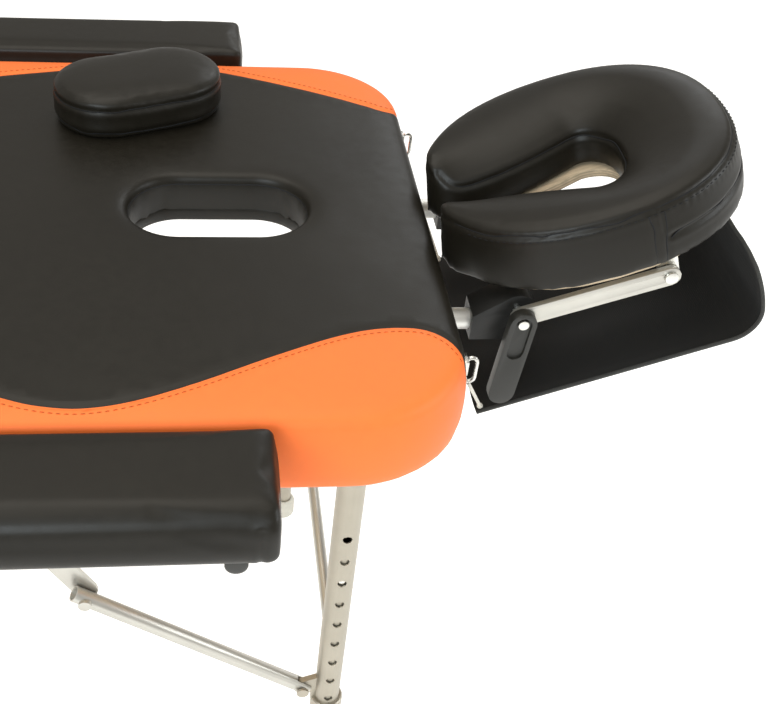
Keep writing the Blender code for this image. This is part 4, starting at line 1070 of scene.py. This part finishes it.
# An armrest's end is drawn in: distance from the end, and inset there
ARMREST_END = ((-0.0015, 0.0045), (-0.0008, 0.0022), (0.0008, 0.0006), (0.0035, 0.0))
# Radii of its long edges: beside the pad, above and below, and away from it, below and above
ARMREST_EDGES = (0.003, 0.004, 0.006, 0.019)
# The end panel is sewn on this far round the corner
ARMREST_PANEL = 0.012


class MASSAGE_OT_armrests(bpy.types.Operator):
    """The two side armrest cushions with their end panels"""

    bl_idname = "massage_table.armrests"
    bl_label = "Armrests"

    def execute(self, context):
        s = sizes()
        low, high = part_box("armrest_cushion_near")
        middle = (low + high) / 2
        half_length, half_width, depth = (high.x - low.x) / 2, (high.y - low.y) / 2, high.z - low.z
        z_low = low.z + 0.0004
        crisp, inner, under, full = ARMREST_EDGES
        quarter = math.pi / 2
        # Seen from the end: a full soft edge away from the table and a crisp one beside the pad
        section = arc((high.y - crisp, high.z - crisp), crisp, quarter, 0, 4)
        section += arc((high.y - inner, z_low + inner), inner, 0, -quarter, 4)
        section += arc((low.y + under, z_low + under), under, -quarter, -2 * quarter, 5)
        section += arc((low.y + full, high.z - full), full, -2 * quarter, -3 * quarter, 10)
        stations = [(-half_length + along, inset) for along, inset in ARMREST_END]
        stations += [(half_length - along, inset) for along, inset in reversed(ARMREST_END)]
        rings = []
        for x, inset in stations:
            across, up = 1 - inset / half_width, 1 - inset / (depth / 2)
            ring = []
            for y, z in section:
                height = max(middle.z + (z - middle.z) * up, z_low)
                ring.append((middle.x + x, middle.y + (y - middle.y) * across, height))
            rings.append(ring)
        near = solid("armrest_cover_near", loft(rings), "black_vinyl", sharp=0)
        swell(near, s.cushion_voxel * 0.8, s.cushion_travel * 0.45, lambda p: p.z - low.z)
        for end in (-1, 1):
            x = middle.x + end * (half_length - ARMREST_PANEL)
            rise = high.z - z_low - ARMREST_PANEL
            path = [(x, low.y - 0.002, z_low + rise * i / 12) for i in range(13)]
            crease(near, settle(near, spaced(path, 0.0012))[0], s.seam_depth * 0.7, s.seam_width * 0.8)
        far = near.copy()
        far.data = near.data.copy()
        far.name = "armrest_cover_far"
        bpy.context.scene.collection.objects.link(far)
        far.data.transform(Matrix.Scale(-1, 4, (0, 1, 0)))
        far.data.flip_normals()
        for cover, where in ((near, "near"), (far, "far")):
            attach(cover, f"armrest_{where}")
            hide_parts(f"armrest_cushion_{where}")
        return {"FINISHED"}


PLUG_INSET = 0.2796
PLUG_OFFSET = 0.1772
PLUG_TURN = math.radians(22)
PLUG_LENGTH = 0.179
PLUG_WIDTH = 0.113
PLUG_HEIGHT = 0.046
# How far the plain solid stays inside the outline before it swells
PLUG_MARGIN = 0.0020
# Heights of the seams, as shares of the plug's
PLUG_SEAMS = (0.69, 0.09)


def plug_outline(inset):
    inset += PLUG_MARGIN
    return obround(PLUG_LENGTH - 2 * inset, PLUG_WIDTH - 2 * inset, 20)


class MASSAGE_OT_plug(bpy.types.Operator):
    """The loose plug of the face hole, with a seam round its top and one round its base"""

    bl_idname = "massage_table.plug"
    bl_label = "Face-hole plug"

    def execute(self, context):
        s = sizes()
        base = PAD_TOP + 0.0003
        place = Matrix.Translation((HEAD_X - PLUG_INSET, PLUG_OFFSET, base))
        place = place @ Matrix.Rotation(PLUG_TURN, 4, "Z")
        h = PLUG_HEIGHT
        # Inset and height of its outline, from the base up
        profile = (
            (0.0060, 0.0),
            (0.0014, 0.0012),
            (0.0, h * 0.2),
            (0.0, h * 0.66),
            (0.0006, h * 0.77),
            (0.0030, h * 0.86),
            (0.0080, h * 0.925),
            (0.0180, h * 0.965),
            (0.0320, h * 0.980),
        )
        rings = [[place @ Vector((*p, z)) for p in plug_outline(inset)] for inset, z in profile]
        plug = solid("face_hole_plug_cover", loft(rings), "black_vinyl", sharp=0)
        swell(plug, s.cushion_voxel * 0.85, s.cushion_travel * 0.6, lambda p: p.z - base)
        ring = spaced(plug_outline(-0.004), 0.003, True)
        lines = []
        for share in PLUG_SEAMS:
            lines.append(seam(plug, [place @ Vector((*p, h * share)) for p in ring], closed=True))
        # The seams' dark cords are partly painted shade for the grooves of the seams
        sewn = solid("face_hole_plug_seams", together(lines), "black_thread")
        for piece in (plug, sewn):
            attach(piece, "plug")
        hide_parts("face_hole_plug")
        return {"FINISHED"}


# The headrest

PIVOT = (HEAD_X + 0.070, 0, PAD_TOP - 0.0445)
CRADLE = Matrix.Translation(PIVOT) @ Matrix.Rotation(-CRADLE_TILT, 4, "Y")
CUSHION_CENTRE = 0.0925
CUSHION_HALF_LENGTH = 0.1465
CUSHION_HALF_WIDTH = 0.1375
CUSHION_ROUND = 2.31
CUSHION_BASE = 0.0280
CUSHION_HEIGHT = 0.067
OPENING_CENTRE = 0.100
OPENING_HALF_WIDTH = 0.045
OPENING_END = 0.131
MOUTH_HALF_WIDTH = 0.012
TIP_TURN = 0.905
TIP_SPREAD = 0.012
# How far the plain solid stays inside the outline before it swells
CUSHION_MARGIN = 0.0030
# A section from the inner foot over the crown to the outer foot: share of the arm's width, and of the height
CUSHION_SECTION = (
    (0.06, 0.006),
    (-0.02, 0.012),
    (-0.04, 0.07),
    (-0.035, 0.25),
    (-0.015, 0.42),
    (0.01, 0.515),
    (0.06, 0.60),
    (0.16, 0.70),
    (0.31, 0.81),
    (0.48, 0.89),
    (0.64, 0.935),
    (0.78, 0.935),
    (0.88, 0.90),
    (0.935, 0.855),
    (0.962, 0.78),
    (0.985, 0.58),
    (1.0, 0.36),
    (1.01, 0.10),
    (1.005, -0.012),
    (0.985, -0.030),
    (0.90, -0.030),
    (0.875, 0.006),
)
# Where sewing lies, in the same shares: the top panel's seam outside and inside, the tuck and the stitches
OUTER_SEAM = (0.955, 0.86)
INNER_SEAM = (0.0, 0.51)
TUCK = (1.03, 0.38)
BAND_STITCHES = (1.0, 0.795)
# Pairs of points round the horseshoe that the sewing uses, out of SEWING_PAIRS
SEWING_PAIRS = 181
SEAM_PAIRS = range(10, 171)
JOIN_PAIRS = (46, 48, 132, 134)
TUCK_PAIRS = range(49, 132)
GATHER_PAIRS = range(52, 129, 2)
# The top panel's seam round a tip: pair from the tip, share of the width and of the height
TIP_SEAM = (
    (7, 0.0, 0.53),
    (5, 0.10, 0.56),
    (4, 0.30, 0.63),
    (4, 0.55, 0.73),
    (4, 0.75, 0.80),
    (6, 0.90, 0.84),
)


def horseshoe(margin, count):
    """Inner and outer plan points of the headrest, tip to tip round the outer end."""
    pairs = []
    mouth = MOUTH_HALF_WIDTH + margin
    a, b = CUSHION_HALF_LENGTH - margin, CUSHION_HALF_WIDTH - margin
    power = 2 / CUSHION_ROUND
    for i in range(count):
        turn = math.pi * (2 * i / (count - 1) - 1) * TIP_TURN
        c, s = math.cos(turn), math.sin(turn)
        along, across = math.copysign(abs(c) ** power, c), math.copysign(abs(s) ** power, s)
        outer = Vector((CUSHION_CENTRE + a * along, b * across))
        if c > 0:
            reach, half = OPENING_END + margin - OPENING_CENTRE, OPENING_HALF_WIDTH + margin
            half *= abs(s) ** 0.85
        else:
            reach = OPENING_CENTRE - CUSHION_CENTRE + a - 0.012
            half = mouth + (OPENING_HALF_WIDTH + margin - mouth) * (1 + c) ** 2
        inner = Vector((OPENING_CENTRE + reach * c, half * (1 if s > 0 else -1)))
        pairs.append((inner, outer))
    return pairs


def cradle_spot(inner, outer, share, rise):
    flat = inner.lerp(outer, share)
    return CRADLE @ Vector((flat.x, flat.y, CUSHION_BASE + CUSHION_HEIGHT * rise))


def headrest_solid():
    """The plain horseshoe before it swells."""
    pairs = horseshoe(CUSHION_MARGIN, 91)
    last = len(pairs) - 1
    rings = []
    for i, (inner, outer) in enumerate(pairs):
        # The arms end in round tips
        step = min(i, last - i)
        shrink = math.sqrt(1 - (1 - min(step + 0.6, 3) / 3) ** 2)
        tip = max(0.0, 1 - step / 4)
        ring = []
        for share, rise in CUSHION_SECTION:
            share = 0.5 + (share - 0.5) * shrink
            spread_out = Vector((TIP_SPREAD * tip * (1 - rise), 0))
            rise = 0.40 + (rise - 0.40) * (0.75 + 0.25 * shrink)
            ring.append(cradle_spot(inner - spread_out, outer - spread_out, share, rise))
        rings.append(ring)
    return solid("headrest_cover", loft(rings), "black_vinyl", sharp=0)


def headrest_sewing(cushion):
    """Presses the headrest's seams and gathers into its cover and gives their threads."""
    s = sizes()
    pairs = horseshoe(0.0, SEWING_PAIRS)
    around = [cradle_spot(*pairs[i], share, rise) for i, share, rise in TIP_SEAM]
    around += [cradle_spot(*pairs[i], *OUTER_SEAM) for i in SEAM_PAIRS]
    around += [cradle_spot(*pairs[-1 - i], share, rise) for i, share, rise in reversed(TIP_SEAM)]
    around += [cradle_spot(*pairs[i], *INNER_SEAM) for i in reversed(SEAM_PAIRS)]
    lines = [seam(cushion, smooth_loop(smooth_path(around, 0.004), 25), closed=True)]
    # The side band is pieced near the outer end, with a tuck sewn along it there
    for at in JOIN_PAIRS:
        upright = [cradle_spot(*pairs[at], 1.03, r / 20) for r in range(0, 17)]
        lines.append(seam(cushion, upright, depth=0.7))
    tuck = [cradle_spot(*pairs[i], *TUCK) for i in TUCK_PAIRS]
    lines.append(seam(cushion, tuck, depth=1.1))
    for i in GATHER_PAIRS:
        gather = [cradle_spot(*pairs[i], 1.0, 0.81 - r * 0.02) for r in range(6)]
        crease(cushion, settle(cushion, gather)[0], s.seam_depth * 0.22, s.seam_width * 0.7)
    band = spaced([cradle_spot(*pairs[i], *BAND_STITCHES) for i in SEAM_PAIRS], 0.0012)
    band, normals = settle(cushion, band)
    tree = spot_tree(band)
    lines.append(stitches(smooth_loop(band, 20, False), lambda p: normals[tree.find(p)[1]]))
    return together(lines)


class MASSAGE_OT_headrest(bpy.types.Operator):
    """The horseshoe face cushion with its sewn side band"""

    bl_idname = "massage_table.headrest"
    bl_label = "Headrest cushion"

    def execute(self, context):
        s = sizes()
        cushion = headrest_solid()
        # Swelled level, so that the cells of the skin lie along the base, and then tilted with the board
        cushion.data.transform(CRADLE.inverted())
        swell(cushion, s.cushion_voxel, s.cushion_travel, lambda p: p.z - CUSHION_BASE)
        cushion.data.transform(CRADLE)
        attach(cushion, "headrest_top")
        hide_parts("headrest_cushion")
        # The seams' dark cords are partly painted shade for the grooves of the seams
        sewn = solid("headrest_seams", headrest_sewing(cushion), "black_thread")
        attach(sewn, "headrest_top")
        return {"FINISHED"}


# The sling

SLING_HALF_WIDTH = 0.125
SLING_START = 0.0445
SLING_DEPTH = 0.156
SLING_SLOPE = math.radians(21)
SLING_RUN = 0.249
SLING_CURL = 0.030
SLING_STEEP = math.radians(108)
SLING_LIP = 0.041
SLING_SAG = 0.012
SLING_CORNER = 0.034
SLING_STEP = 0.005
SLING_COLUMNS = 45
BINDING_RADIUS = 0.0019
# Distance of the clips from the middle line
CLIP_OFFSET = 0.19
# A knot's radii along the tie, as shares of the tie's
KNOT = (0.4, 1.5, 1.9, 1.5, 1.8, 1.3, 0.5)
# Where the strap is held under the headrest's board, in the board's own frame
STRAP_HOLD = (0.218, 0, 0.0184)
STRAP_HALF_THICKNESS = 0.0009
# Webbing with soft edges: share of half its thickness, and distance from its middle line
STRAP_SECTION = (
    (0.3, 0.015),
    (1.0, 0.0142),
    (1.0, -0.0142),
    (0.3, -0.015),
    (-0.3, -0.015),
    (-1.0, -0.0142),
    (-1.0, 0.0142),
    (-0.3, 0.015),
)


def sling_profile(step):
    """The sling's side view from the table outwards, as (x, z) from the pad's head edge and top."""
    x, z = SLING_START, -SLING_DEPTH
    end = (x + SLING_RUN * math.cos(SLING_SLOPE), z + SLING_RUN * math.sin(SLING_SLOPE))
    line = [(x, z), end]
    for i in range(1, 25):
        turn = SLING_SLOPE + (SLING_STEEP - SLING_SLOPE) * i / 24
        rise = SLING_CURL * (math.cos(SLING_SLOPE) - math.cos(turn))
        line.append((end[0] + SLING_CURL * (math.sin(turn) - math.sin(SLING_SLOPE)), end[1] + rise))
    tip = line[-1]
    line.append((tip[0] + SLING_LIP * math.cos(SLING_STEEP), tip[1] + SLING_LIP * math.sin(SLING_STEEP)))
    return spaced(line, step)


def sling_width(left):
    """Half the sling's width at a distance from its lip, with round corners there."""
    short = max(0.0, SLING_CORNER - left)
    return SLING_HALF_WIDTH - SLING_CORNER + math.sqrt(SLING_CORNER**2 - short**2)


def sling_rows():
    """Points of the hanging cloth, row by row from the table outwards, and the cloth's area."""
    line = sling_profile(SLING_STEP)
    last = len(line) - 1
    rows, area = [], 0.0
    for i, (x, z) in enumerate(line):
        share = i / last
        width = sling_width((last - i) * SLING_STEP)
        area += 2 * width * SLING_STEP * (0.5 if i in (0, last) else 1.0)
        belly = math.sin(math.pi * min(1.0, share / 0.75)) if share < 0.75 else 0.0
        row = []
        for j in range(SLING_COLUMNS):
            v = 2 * j / (SLING_COLUMNS - 1) - 1
            sag = SLING_SAG * belly * (1 - v * v)
            fold = 0.0022 * math.sin(3 * math.pi * v) * (1 - share)
            soft = 0.0014 * noise.noise(Vector((share * 5, v * 3, 9.0))) * min(1.0, 4 * (1 - abs(v)))
            row.append(Vector((HEAD_X + x, v * width, PAD_TOP + z - sag + fold + soft)))
        rows.append(row)
    return rows, area


def sling_shape(rows):
    """The cloth with its thickness and its doubled hem, as points and faces."""
    s = sizes()
    count, across = len(rows), SLING_COLUMNS
    normals = []
    for i in range(count):
        some = []
        for j in range(across):
            along = rows[min(i + 1, count - 1)][j] - rows[max(i - 1, 0)][j]
            sideways = rows[i][min(j + 1, across - 1)] - rows[i][max(j - 1, 0)]
            some.append(along.cross(sideways).normalized())
        normals.append(some)
    points = []
    for face in (1, -1):
        for i in range(count):
            left = (count - 1 - i) * SLING_STEP
            for j in range(across):
                edge = min(j, across - 1 - j) / (across - 1) * 2 * sling_width(left)
                edge = min(edge, i * SLING_STEP, left)
                hem = 1.0 if edge < s.sling_hem else 0.0
                groove = math.exp(-(((edge - s.sling_hem) / 0.0016) ** 2))
                thick = s.sling_thickness * (1 + 0.7 * hem - 0.3 * groove)
                points.append(rows[i][j] + normals[i][j] * face * thick / 2)
    faces = []
    half = count * across
    for i in range(count - 1):
        for j in range(across - 1):
            a = i * across + j
            faces.append((a, a + 1, a + across + 1, a + across))
            faces.append((half + a, half + a + across, half + a + across + 1, half + a + 1))
    border = list(range(across))
    border += [i * across + across - 1 for i in range(1, count)]
    border += [(count - 1) * across + j for j in range(across - 2, -1, -1)]
    border += [i * across for i in range(count - 2, 0, -1)]
    for a, b in zip(border, border[1:] + border[:1]):
        faces.append((a, b, half + b, half + a))
    return points, faces


class MASSAGE_OT_sling(bpy.types.Operator):
    """The hanging arm sling with its hem, strap and corner ties"""

    bl_idname = "massage_table.sling"
    bl_label = "Arm sling"

    def execute(self, context):
        rows, area = sling_rows()
        count = len(rows)
        sling = solid("arm_sling_cloth", sling_shape(rows), "cloth")
        edge_path = [rows[i][0] for i in range(count)]
        edge_path += rows[-1][1:-1]
        edge_path += [rows[i][-1] for i in range(count - 1, -1, -1)]
        edge_path = spaced(edge_path, 0.004)
        shape = sweep(edge_path, [BINDING_RADIUS] * len(edge_path), 8)
        binding = solid("arm_sling_binding", shape, "binding")
        for piece in (sling, binding):
            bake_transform(piece)
        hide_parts("arm_sling")
        self.strap(rows)
        self.ties(rows)
        return {"FINISHED"}

    def strap(self, rows):
        """A webbing loop from the sling's lip up to the platform's outer end."""
        lip = rows[-1][len(rows[-1]) // 2]
        hold = CRADLE @ Vector(STRAP_HOLD)
        path = smooth_path([lip + Vector((0, 0, -0.016)), lip + Vector((-0.001, 0, 0.004)), hold], 0.004)
        rings = []
        for i, p in enumerate(path):
            run = (path[min(i + 1, len(path) - 1)] - path[max(i - 1, 0)]).normalized()
            out = run.cross(Vector((0, 1, 0))).normalized() * STRAP_HALF_THICKNESS
            rings.append([p + out * share + Vector((0, y, 0)) for share, y in STRAP_SECTION])
        strap = solid("arm_sling_strap", loft(rings), "webbing", math.radians(35))
        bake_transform(strap)

    def ties(self, rows):
        """A short taut cord from each clip to the sling's corner, with a knot at the cloth."""
        s = sizes()
        for side, where, column in ((-1, "near", 1), (1, "far", -2)):
            low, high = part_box(f"sling_clip_{where}")
            ring = Vector(((low.x + high.x) / 2 + 0.0014, side * CLIP_OFFSET, low.z + 0.0002))
            corner = rows[1][column] + Vector((0, 0, 0.0016))
            path = spaced([ring, corner], 0.006)
            tie = solid(f"arm_sling_tie_{where}", sweep(path, [s.tie_radius] * len(path), 10), "cord")
            run = (corner - ring).normalized()
            spots = [corner - run * (0.007 - 0.0014 * k) for k in range(len(KNOT))]
            radii = [s.tie_radius * share for share in KNOT]
            knot = solid(f"arm_sling_knot_{where}", sweep(spots, radii, 10), "cord")
            for piece in (tie, knot):
                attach(piece, "headrest_base")


# Frame, hardware and stage


def facet_smoother(angle):
    """A modifier group that joins a node's facets and smooths those that meet at less than angle."""
    name = "smooth_facets"
    if name in bpy.data.node_groups:
        return bpy.data.node_groups[name]
    group = bpy.data.node_groups.new(name, "GeometryNodeTree")
    group.interface.new_socket("Geometry", in_out="INPUT", socket_type="NodeSocketGeometry")
    group.interface.new_socket("Geometry", in_out="OUTPUT", socket_type="NodeSocketGeometry")
    nodes, link = group.nodes, group.links.new
    first, last = nodes.new("NodeGroupInput"), nodes.new("NodeGroupOutput")
    weld = nodes.new("GeometryNodeMergeByDistance")
    weld.inputs["Distance"].default_value = WELD_GAP
    fold = nodes.new("GeometryNodeInputMeshEdgeAngle")
    steep = nodes.new("FunctionNodeCompare")
    steep.operation = "GREATER_THAN"
    steep.inputs[1].default_value = angle
    shade = nodes.new("GeometryNodeSetMeshNormal")
    shade.mode = "SHARPNESS"
    shade.inputs["Remove Custom"].default_value = True
    link(first.outputs[0], weld.inputs["Geometry"])
    link(weld.outputs["Geometry"], shade.inputs["Mesh"])
    link(fold.outputs["Unsigned Angle"], steep.inputs[0])
    link(steep.outputs[0], shade.inputs["Edge Sharpness"])
    link(shade.outputs["Mesh"], last.inputs[0])
    return group


NODE_FINISHES = (
    ("button", "steel"),
    ("clip", "steel"),
    ("cross_pin", "steel"),
    # The clamps take the darker plastic that paints their shade
    ("clamp", "clamp"),
    ("lever", "plastic"),
    ("rod", "rod"),
    ("platform", "platform"),
    ("panel", "plywood"),
    ("side_rail", "hardwood"),
    ("end_rail", "hardwood"),
    ("_foot_", "rubber"),
    # The legs take the darker aluminium that paints the table's shadow on them
    ("_leg_", "leg"),
)

# Edge radii, and those that differ
USUAL_EDGE = 0.0004
NODE_EDGES = (("clamp", 0.0012), ("platform", 0.0008), ("side_rail", 0.0012), ("end_rail", 0.0012))
# Below this level in its own frame the headrest's board has steel ears and bolts
PLATFORM_UNDERSIDE = 0.0180


class MASSAGE_OT_frame(bpy.types.Operator):
    """Finishes of the solids that stay as they are"""

    bl_idname = "massage_table.frame"
    bl_label = "Frame finishes"

    def execute(self, context):
        group = facet_smoother(math.radians(33))
        for name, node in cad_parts.items():
            if node.hide_render:
                continue
            look = next((look for word, look in NODE_FINISHES if word in name), "aluminium")
            node.data.materials.clear()
            node.data.materials.append(finish(look))
            if name == "headrest_platform":
                node.data.materials.append(finish("steel"))
                back = CRADLE.inverted()
                for face in node.data.polygons:
                    face.material_index = int((back @ face.center).z < PLATFORM_UNDERSIDE)
            weld = node.modifiers.new("weld", "WELD")
            weld.merge_threshold = WELD_GAP
            soft = node.modifiers.new("soft_edges", "BEVEL")
            soft.width = next((width for word, width in NODE_EDGES if word in name), USUAL_EDGE)
            soft.segments = 2
            soft.limit_method = "ANGLE"
            soft.angle_limit = math.radians(42)
            smooth = node.modifiers.new("smooth_facets", "NODES")
            smooth.node_group = group
        return {"FINISHED"}


# Place of an armrest's tubes: in from the cushion's ends, and below the pad's top
ARM_TUBE_INSET = 0.028
ARM_TUBE_DEPTH = 0.0655
# A cap, in millimetres: distance past the tube's end, and radius
CAP = ((-12, 8.3), (-11.4, 8.9), (-0.4, 8.9), (0.6, 8.4), (1.1, 6.4), (1.3, 2.4))


class MASSAGE_OT_hardware(bpy.types.Operator):
    """Small moulded caps on the armrest tubes"""

    bl_idname = "massage_table.hardware"
    bl_label = "Caps"

    def execute(self, context):
        for side, where in ((-1, "near"), (1, "far")):
            low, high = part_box(f"armrest_frame_{where}")
            outer = low.y if side < 0 else high.y
            cushion_low, cushion_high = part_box(f"armrest_cushion_{where}")
            for end, word in ((-1, "foot"), (1, "head")):
                x = cushion_low.x + ARM_TUBE_INSET if end < 0 else cushion_high.x - ARM_TUBE_INSET
                z = PAD_TOP - ARM_TUBE_DEPTH
                spots = [(x, outer + side * d * MM, z) for d, r in CAP]
                shape = sweep(spots, [r * MM for d, r in CAP], 20)
                cap = solid(f"armrest_cap_{where}_{word}", shape, "plastic")
                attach(cap, f"armrest_{where}")
        return {"FINISHED"}


FLOOR_REACH = 9.0
FLOOR_GLOW = 0.40
LIGHT_TARGET = (0.4, 0, 0.7)


def aim(place, target):
    return (Vector(target) - Vector(place)).to_track_quat("-Z", "Y").to_euler()


class MASSAGE_OT_stage(bpy.types.Operator):
    """Floor, studio light and camera"""

    bl_idname = "massage_table.stage"
    bl_label = "Stage"

    def execute(self, context):
        scene = context.scene
        settings = scene.table_stage
        scene.view_settings.view_transform = "Standard"
        yaw, pitch, roll = settings.camera_turn
        right = Vector((math.cos(yaw), math.sin(yaw), 0))
        ahead = Vector((-math.sin(yaw), math.cos(yaw), 0))
        look = ahead * math.cos(pitch) + Vector((0, 0, math.sin(pitch)))
        up = ahead * -math.sin(pitch) + Vector((0, 0, math.cos(pitch)))
        side = right * math.cos(roll) + up * math.sin(roll)
        top = right * -math.sin(roll) + up * math.cos(roll)
        data = bpy.data.cameras.new("camera")
        data.sensor_width = 36
        data.lens = settings.lens
        data.shift_x = settings.shift
        camera = bpy.data.objects.new("camera", data)
        turn = Matrix((side, top, -look)).transposed().to_4x4()
        camera.matrix_world = Matrix.Translation(settings.camera_place) @ turn
        scene.collection.objects.link(camera)
        scene.camera = camera

        mesh = bpy.data.meshes.new("floor")
        corners = [(x * FLOOR_REACH, y * FLOOR_REACH, 0) for x, y in ((-1, -1), (1, -1), (1, 1), (-1, 1))]
        mesh.from_pydata(corners, [], [(0, 1, 2, 3)])
        floor = bpy.data.objects.new("floor", mesh)
        scene.collection.objects.link(floor)
        material, shader = start("studio_floor", Roughness=0.9, Specular_IOR_Level=0.1)
        shader.inputs["Base Color"].default_value = colours().floor
        shader.inputs["Emission Color"].default_value = (1, 1, 1, 1)
        shader.inputs["Emission Strength"].default_value = FLOOR_GLOW
        mesh.materials.append(material)

        world = bpy.data.worlds.new("studio")
        scene.world = world
        world.use_nodes = True
        sky = world.node_tree.nodes["Background"]
        sky.inputs["Color"].default_value = (1.0, 0.97, 0.91, 1.0)
        sky.inputs["Strength"].default_value = settings.sky
        for name, place, size, power, tone in (
            ("key_softbox", (-0.4, -2.3, 1.9), 1.3, settings.key, (0.84, 0.94, 1.0)),
            ("head_window", (3.0, -0.6, 1.5), 1.6, settings.window, (0.92, 0.97, 1.0)),
            ("back_window", (1.75, 2.3, 2.1), 1.2, settings.back, (0.95, 0.98, 1.0)),
            ("overhead", (0.1, 0.1, 3.4), 3.0, settings.overhead, (1.0, 0.95, 0.86)),
        ):
            light = bpy.data.lights.new(name, "AREA")
            light.shape = "RECTANGLE"
            light.size = size
            light.size_y = size * 0.7
            light.energy = power
            light.color = tone
            lamp = bpy.data.objects.new(name, light)
            lamp.location = place
            lamp.rotation_euler = aim(place, LIGHT_TARGET)
            scene.collection.objects.link(lamp)
        return {"FINISHED"}


STEPS = (
    MASSAGE_OT_stage,
    MASSAGE_OT_sling,
    MASSAGE_OT_pads,
    MASSAGE_OT_armrests,
    MASSAGE_OT_plug,
    MASSAGE_OT_headrest,
    MASSAGE_OT_hardware,
    MASSAGE_OT_frame,
)


class MASSAGE_PT_panel(bpy.types.Panel):
    """Lists the steps that dress the table"""

    bl_idname = "MASSAGE_PT_panel"
    bl_label = "Massage table"
    bl_space_type = "VIEW_3D"
    bl_region_type = "UI"
    bl_category = "Massage table"

    def draw(self, context):
        for step in STEPS:
            self.layout.operator(step.bl_idname)


GROUPS = (("table_sizes", TableSizes), ("table_colours", TableColours), ("table_stage", StageSettings))


def register():
    for name, group in GROUPS:
        bpy.utils.register_class(group)
        setattr(bpy.types.Scene, name, PointerProperty(type=group))
    for step in (*STEPS, MASSAGE_PT_panel):
        bpy.utils.register_class(step)


def unregister():
    for step in (MASSAGE_PT_panel, *reversed(STEPS)):
        bpy.utils.unregister_class(step)
    for name, group in reversed(GROUPS):
        delattr(bpy.types.Scene, name)
        bpy.utils.unregister_class(group)


def main():
    register()
    for step in STEPS:
        category, name = step.bl_idname.split(".")
        getattr(getattr(bpy.ops, category), name)()


if __name__ == "__main__":
    main()
